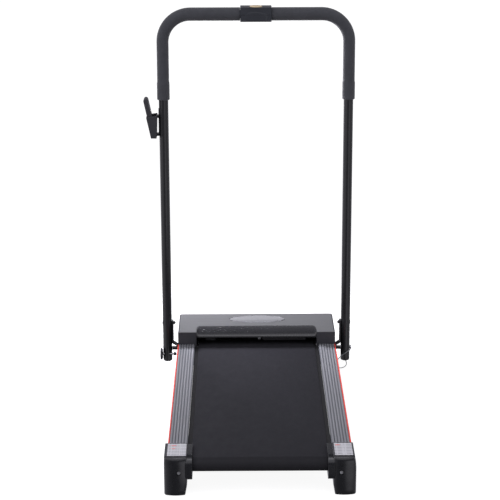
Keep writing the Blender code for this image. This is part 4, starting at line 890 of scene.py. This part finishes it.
def foam():
    """Foam grips: one long bent tube of closed-cell foam on each side, a little uneven."""
    corner = (UPRIGHT_X - BEND, BAR_Z - BEND)
    for side, word in SIDES:
        stations = [(FOAM_LOW, 0.0172), (FOAM_LOW + 0.0002, 0.0181), (FOAM_LOW + 0.0009, 0.0188),
                    (FOAM_LOW + 0.0022, FOAM_JOINT)]
        stations += [(FOAM_LOW + 0.006 + 0.0445 * k / 12, FOAM_JOINT) for k in range(13)]
        stations += [(UPRIGHT_TOP - 0.0028, 0.0189), (UPRIGHT_TOP, 0.0187), (UPRIGHT_TOP + 0.0025, 0.0182),
                     (UPRIGHT_TOP + 0.0055, FOAM_LEG)]
        start = UPRIGHT_TOP + 0.008
        stations += [(start + (corner[1] - start) * k / 26, FOAM_LEG) for k in range(26)]
        path = [(UPRIGHT_X, HANDLE_Y, z) for z, _ in stations]
        radii = [r for _, r in stations]
        for k in range(37):
            t = radians(90 * k / 36)
            path.append((corner[0] + BEND * cos(t), HANDLE_Y, corner[1] + BEND * sin(t)))
            radii.append(FOAM_LEG + (FOAM_BAR - FOAM_LEG) * k / 36)
        for k in range(1, 33):
            path.append((corner[0] + (SLEEVE_HALF + 0.0032 - corner[0]) * k / 32, HANDLE_Y, BAR_Z))
            radii.append(FOAM_BAR)
        for dx, r in ((0.002, 0.0197), (0.001, 0.0193), (0.0004, 0.0186)):
            path.append((SLEEVE_HALF + dx, HANDLE_Y, BAR_Z))
            radii.append(r)
        shape = swept(path, radii, 72)
        for vert in shape.verts:
            across = vert.co.x - UPRIGHT_X if vert.co.z < corner[1] else 0.0
            axis = Vector((across, vert.co.y - HANDLE_Y, 0))
            wobble = noise.noise(vert.co * 60 + Vector((side * 7.0, 0, 0))) * 0.00016
            if axis.length > 1e-5:
                vert.co += axis.normalized() * wobble
        grip = piece(f"foam_grip_{word}_soft", shape, "foam", "handle", (f"foam_grip_{word}",),
                     side)


def sleeve():
    """The two halves of the sleeve, with the low arched relief of the moulding."""
    def section(r_top, r_low):
        deep, low, high = SLEEVE_DEEP, SLEEVE_LOW, SLEEVE_TOP
        corners = [(HANDLE_Y - deep, low, r_low), (HANDLE_Y + deep, low, r_low),
                   (HANDLE_Y + deep, high, r_top), (HANDLE_Y - deep, high, r_top)]
        return rounded(corners, 8)

    def dense(outline, spacing):
        result = []
        for (a, b), (c, d) in zip(outline, outline[1:] + outline[:1]):
            steps = max(1, round(hypot(c - a, d - b) / spacing))
            result += [(a + (c - a) * k / steps, b + (d - b) * k / steps) for k in range(steps)]
        return result

    def relief(x, z):
        """Height of the arch: a shallow tongue, flat below, curved above."""
        u, v = x / 0.033, (z - SLEEVE_LOW - 0.0145) / 0.015
        inside = 1.0 - (abs(u) ** 2.6 + abs(v) ** 2.2)
        return 0.0009 * max(0.0, min(1.0, inside * 3.2 + 0.25))

    outline = dense(section(0.0035, 0.006), 0.001)
    seat = SLEEVE_TOP - 0.005
    for word, keep_low in (("lower", True), ("upper", False)):
        split = BAR_Z - 0.00015 if keep_low else BAR_Z + 0.00015
        half = [(y, min(z, split)) if keep_low else (y, max(z, split)) for y, z in outline]
        rings = []
        count = 110
        for i in range(count + 1):
            x = -SLEEVE_HALF + 2 * SLEEVE_HALF * i / count
            close = max(0.0, abs(x) - (SLEEVE_HALF - 0.0014)) / 0.0014
            pull = 0.0012 * (1 - sqrt(max(0.0, 1 - close ** 2)))
            middle = (SLEEVE_LOW + SLEEVE_TOP) / 2
            ring = []
            for y, z in half:
                dy, dz = y - HANDLE_Y, z - middle
                grown = 1 - pull / SLEEVE_DEEP
                ny, nz = HANDLE_Y + dy * grown, middle + dz * grown
                if abs(dy) > SLEEVE_DEEP - 0.0003:
                    ny += copysign(relief(x, z), dy) - copysign(0.0009, dy)
                ring.append((x, ny, nz))
            rings.append(ring)
        shape = loft(rings)
        bmesh.ops.dissolve_degenerate(shape, dist=1e-7, edges=shape.edges)
        made = piece(f"sleeve_{word}_moulded", shape, "sleeve", "handle",
                     (f"grip_sleeve_{word}",), angle=40)
        if not keep_low:
            well = turned(softened([(seat, 0.0), (seat, BUTTON_R + 0.0004),
                                    (seat + 0.015, BUTTON_R + 0.0004), (seat + 0.015, 0.0)], 0.0003), "Z",
                          (0.0, HANDLE_Y), 96)
            carve(made, (well,))
    top = SLEEVE_TOP + 0.0018
    disc = softened([(seat + 0.0023, 0.0), (seat + 0.0023, BUTTON_R), (top - 0.0012, BUTTON_R),
                     (top - 0.0002, BUTTON_R - 0.0012), (top, BUTTON_R - 0.0026),
                     (top - 0.0004, BUTTON_R - 0.004), (top - 0.0004, 0.0)], 0.0004)
    piece("start_button_disc", turned(disc, "Z", (0.0, HANDLE_Y), 96), "cream", "start_button_body",
          ("start_button",))


def remote():
    """The leaning remote control in its pocket, and its clip."""
    refinish("pocket_clip", "paint", 0.0003, 2)
    refinish("remote_pocket", "satin", 0.0014, 4)
    thick, width, length = REMOTE_SIZE
    lean = tan(REMOTE_TILT)
    base_x = -TUBE_OUT - 0.0245 + 0.002 / cos(REMOTE_TILT) - lean * (POCKET_FLOOR - POCKET_LOW)
    base_x += (thick / 2 + 0.0003) / cos(REMOTE_TILT)
    foot = Vector((base_x, HANDLE_Y, POCKET_FLOOR + thick / 2 * sin(REMOTE_TILT)))
    turn = Matrix.Translation(foot) @ Matrix.Rotation(-REMOTE_TILT, 4, "Y")

    def tilted(shape):
        bmesh.ops.transform(shape, matrix=turn, verts=shape.verts)
        return shape

    edge = 0.003                   # radius of the long edges
    turns = [radians(15 * k) for k in range(7)]
    near = [(-width / 2 + edge * (1 - sin(t)), edge * (1 - cos(t))) for t in reversed(turns)]
    middle = [(-width / 2 + edge + (width - 2 * edge) * k / 10, 0.0) for k in range(1, 10)]
    far = [(-y, shrink) for y, shrink in reversed(near)]
    sections = []
    for y, shrink in near + middle + far:
        h, r = length - shrink, thick / 2 - shrink
        outline = arc((0.0, h - r), r, 0, 180, 20)
        outline += [(-r, 0.0015 + shrink), (-r + 0.0015, shrink), (r - 0.0015, shrink),
                    (r, 0.0015 + shrink)]
        sections.append([(x, y, z) for x, z in outline])
    shell = piece("remote_shell", tilted(loft(sections)), "satin", "remote",
                  ("remote_body",), angle=50)
    wells = []
    face = -thick / 2
    for _, z in REMOTE_BUTTONS:
        wells.append(tilted(turned([(face - 0.005, 0.0), (face - 0.005, 0.0044), (face + 0.0025, 0.0044),
                                    (face + 0.0025, 0.0)], "X", (0.0, z), 40)))
    carve(shell, wells)
    for word, z in REMOTE_BUTTONS:
        cap = [(face - 0.0008, 0.0), (face - 0.0007, 0.0028), (face - 0.0002, 0.0038),
               (face + 0.0003, 0.004), (face + 0.0012, 0.004), (face + 0.0012, 0.0)]
        piece(f"remote_{word}_cap", tilted(turned(cap, "X", (0.0, z), 40)), "rubber", f"button_{word}",
              (f"remote_button_{word}",))


# ---- the whole look
stage()
lanyard()
belt()
rails()
end_caps()
rollers()
cover()
base()
hinges()
uprights()
foam()
sleeve()
remote()
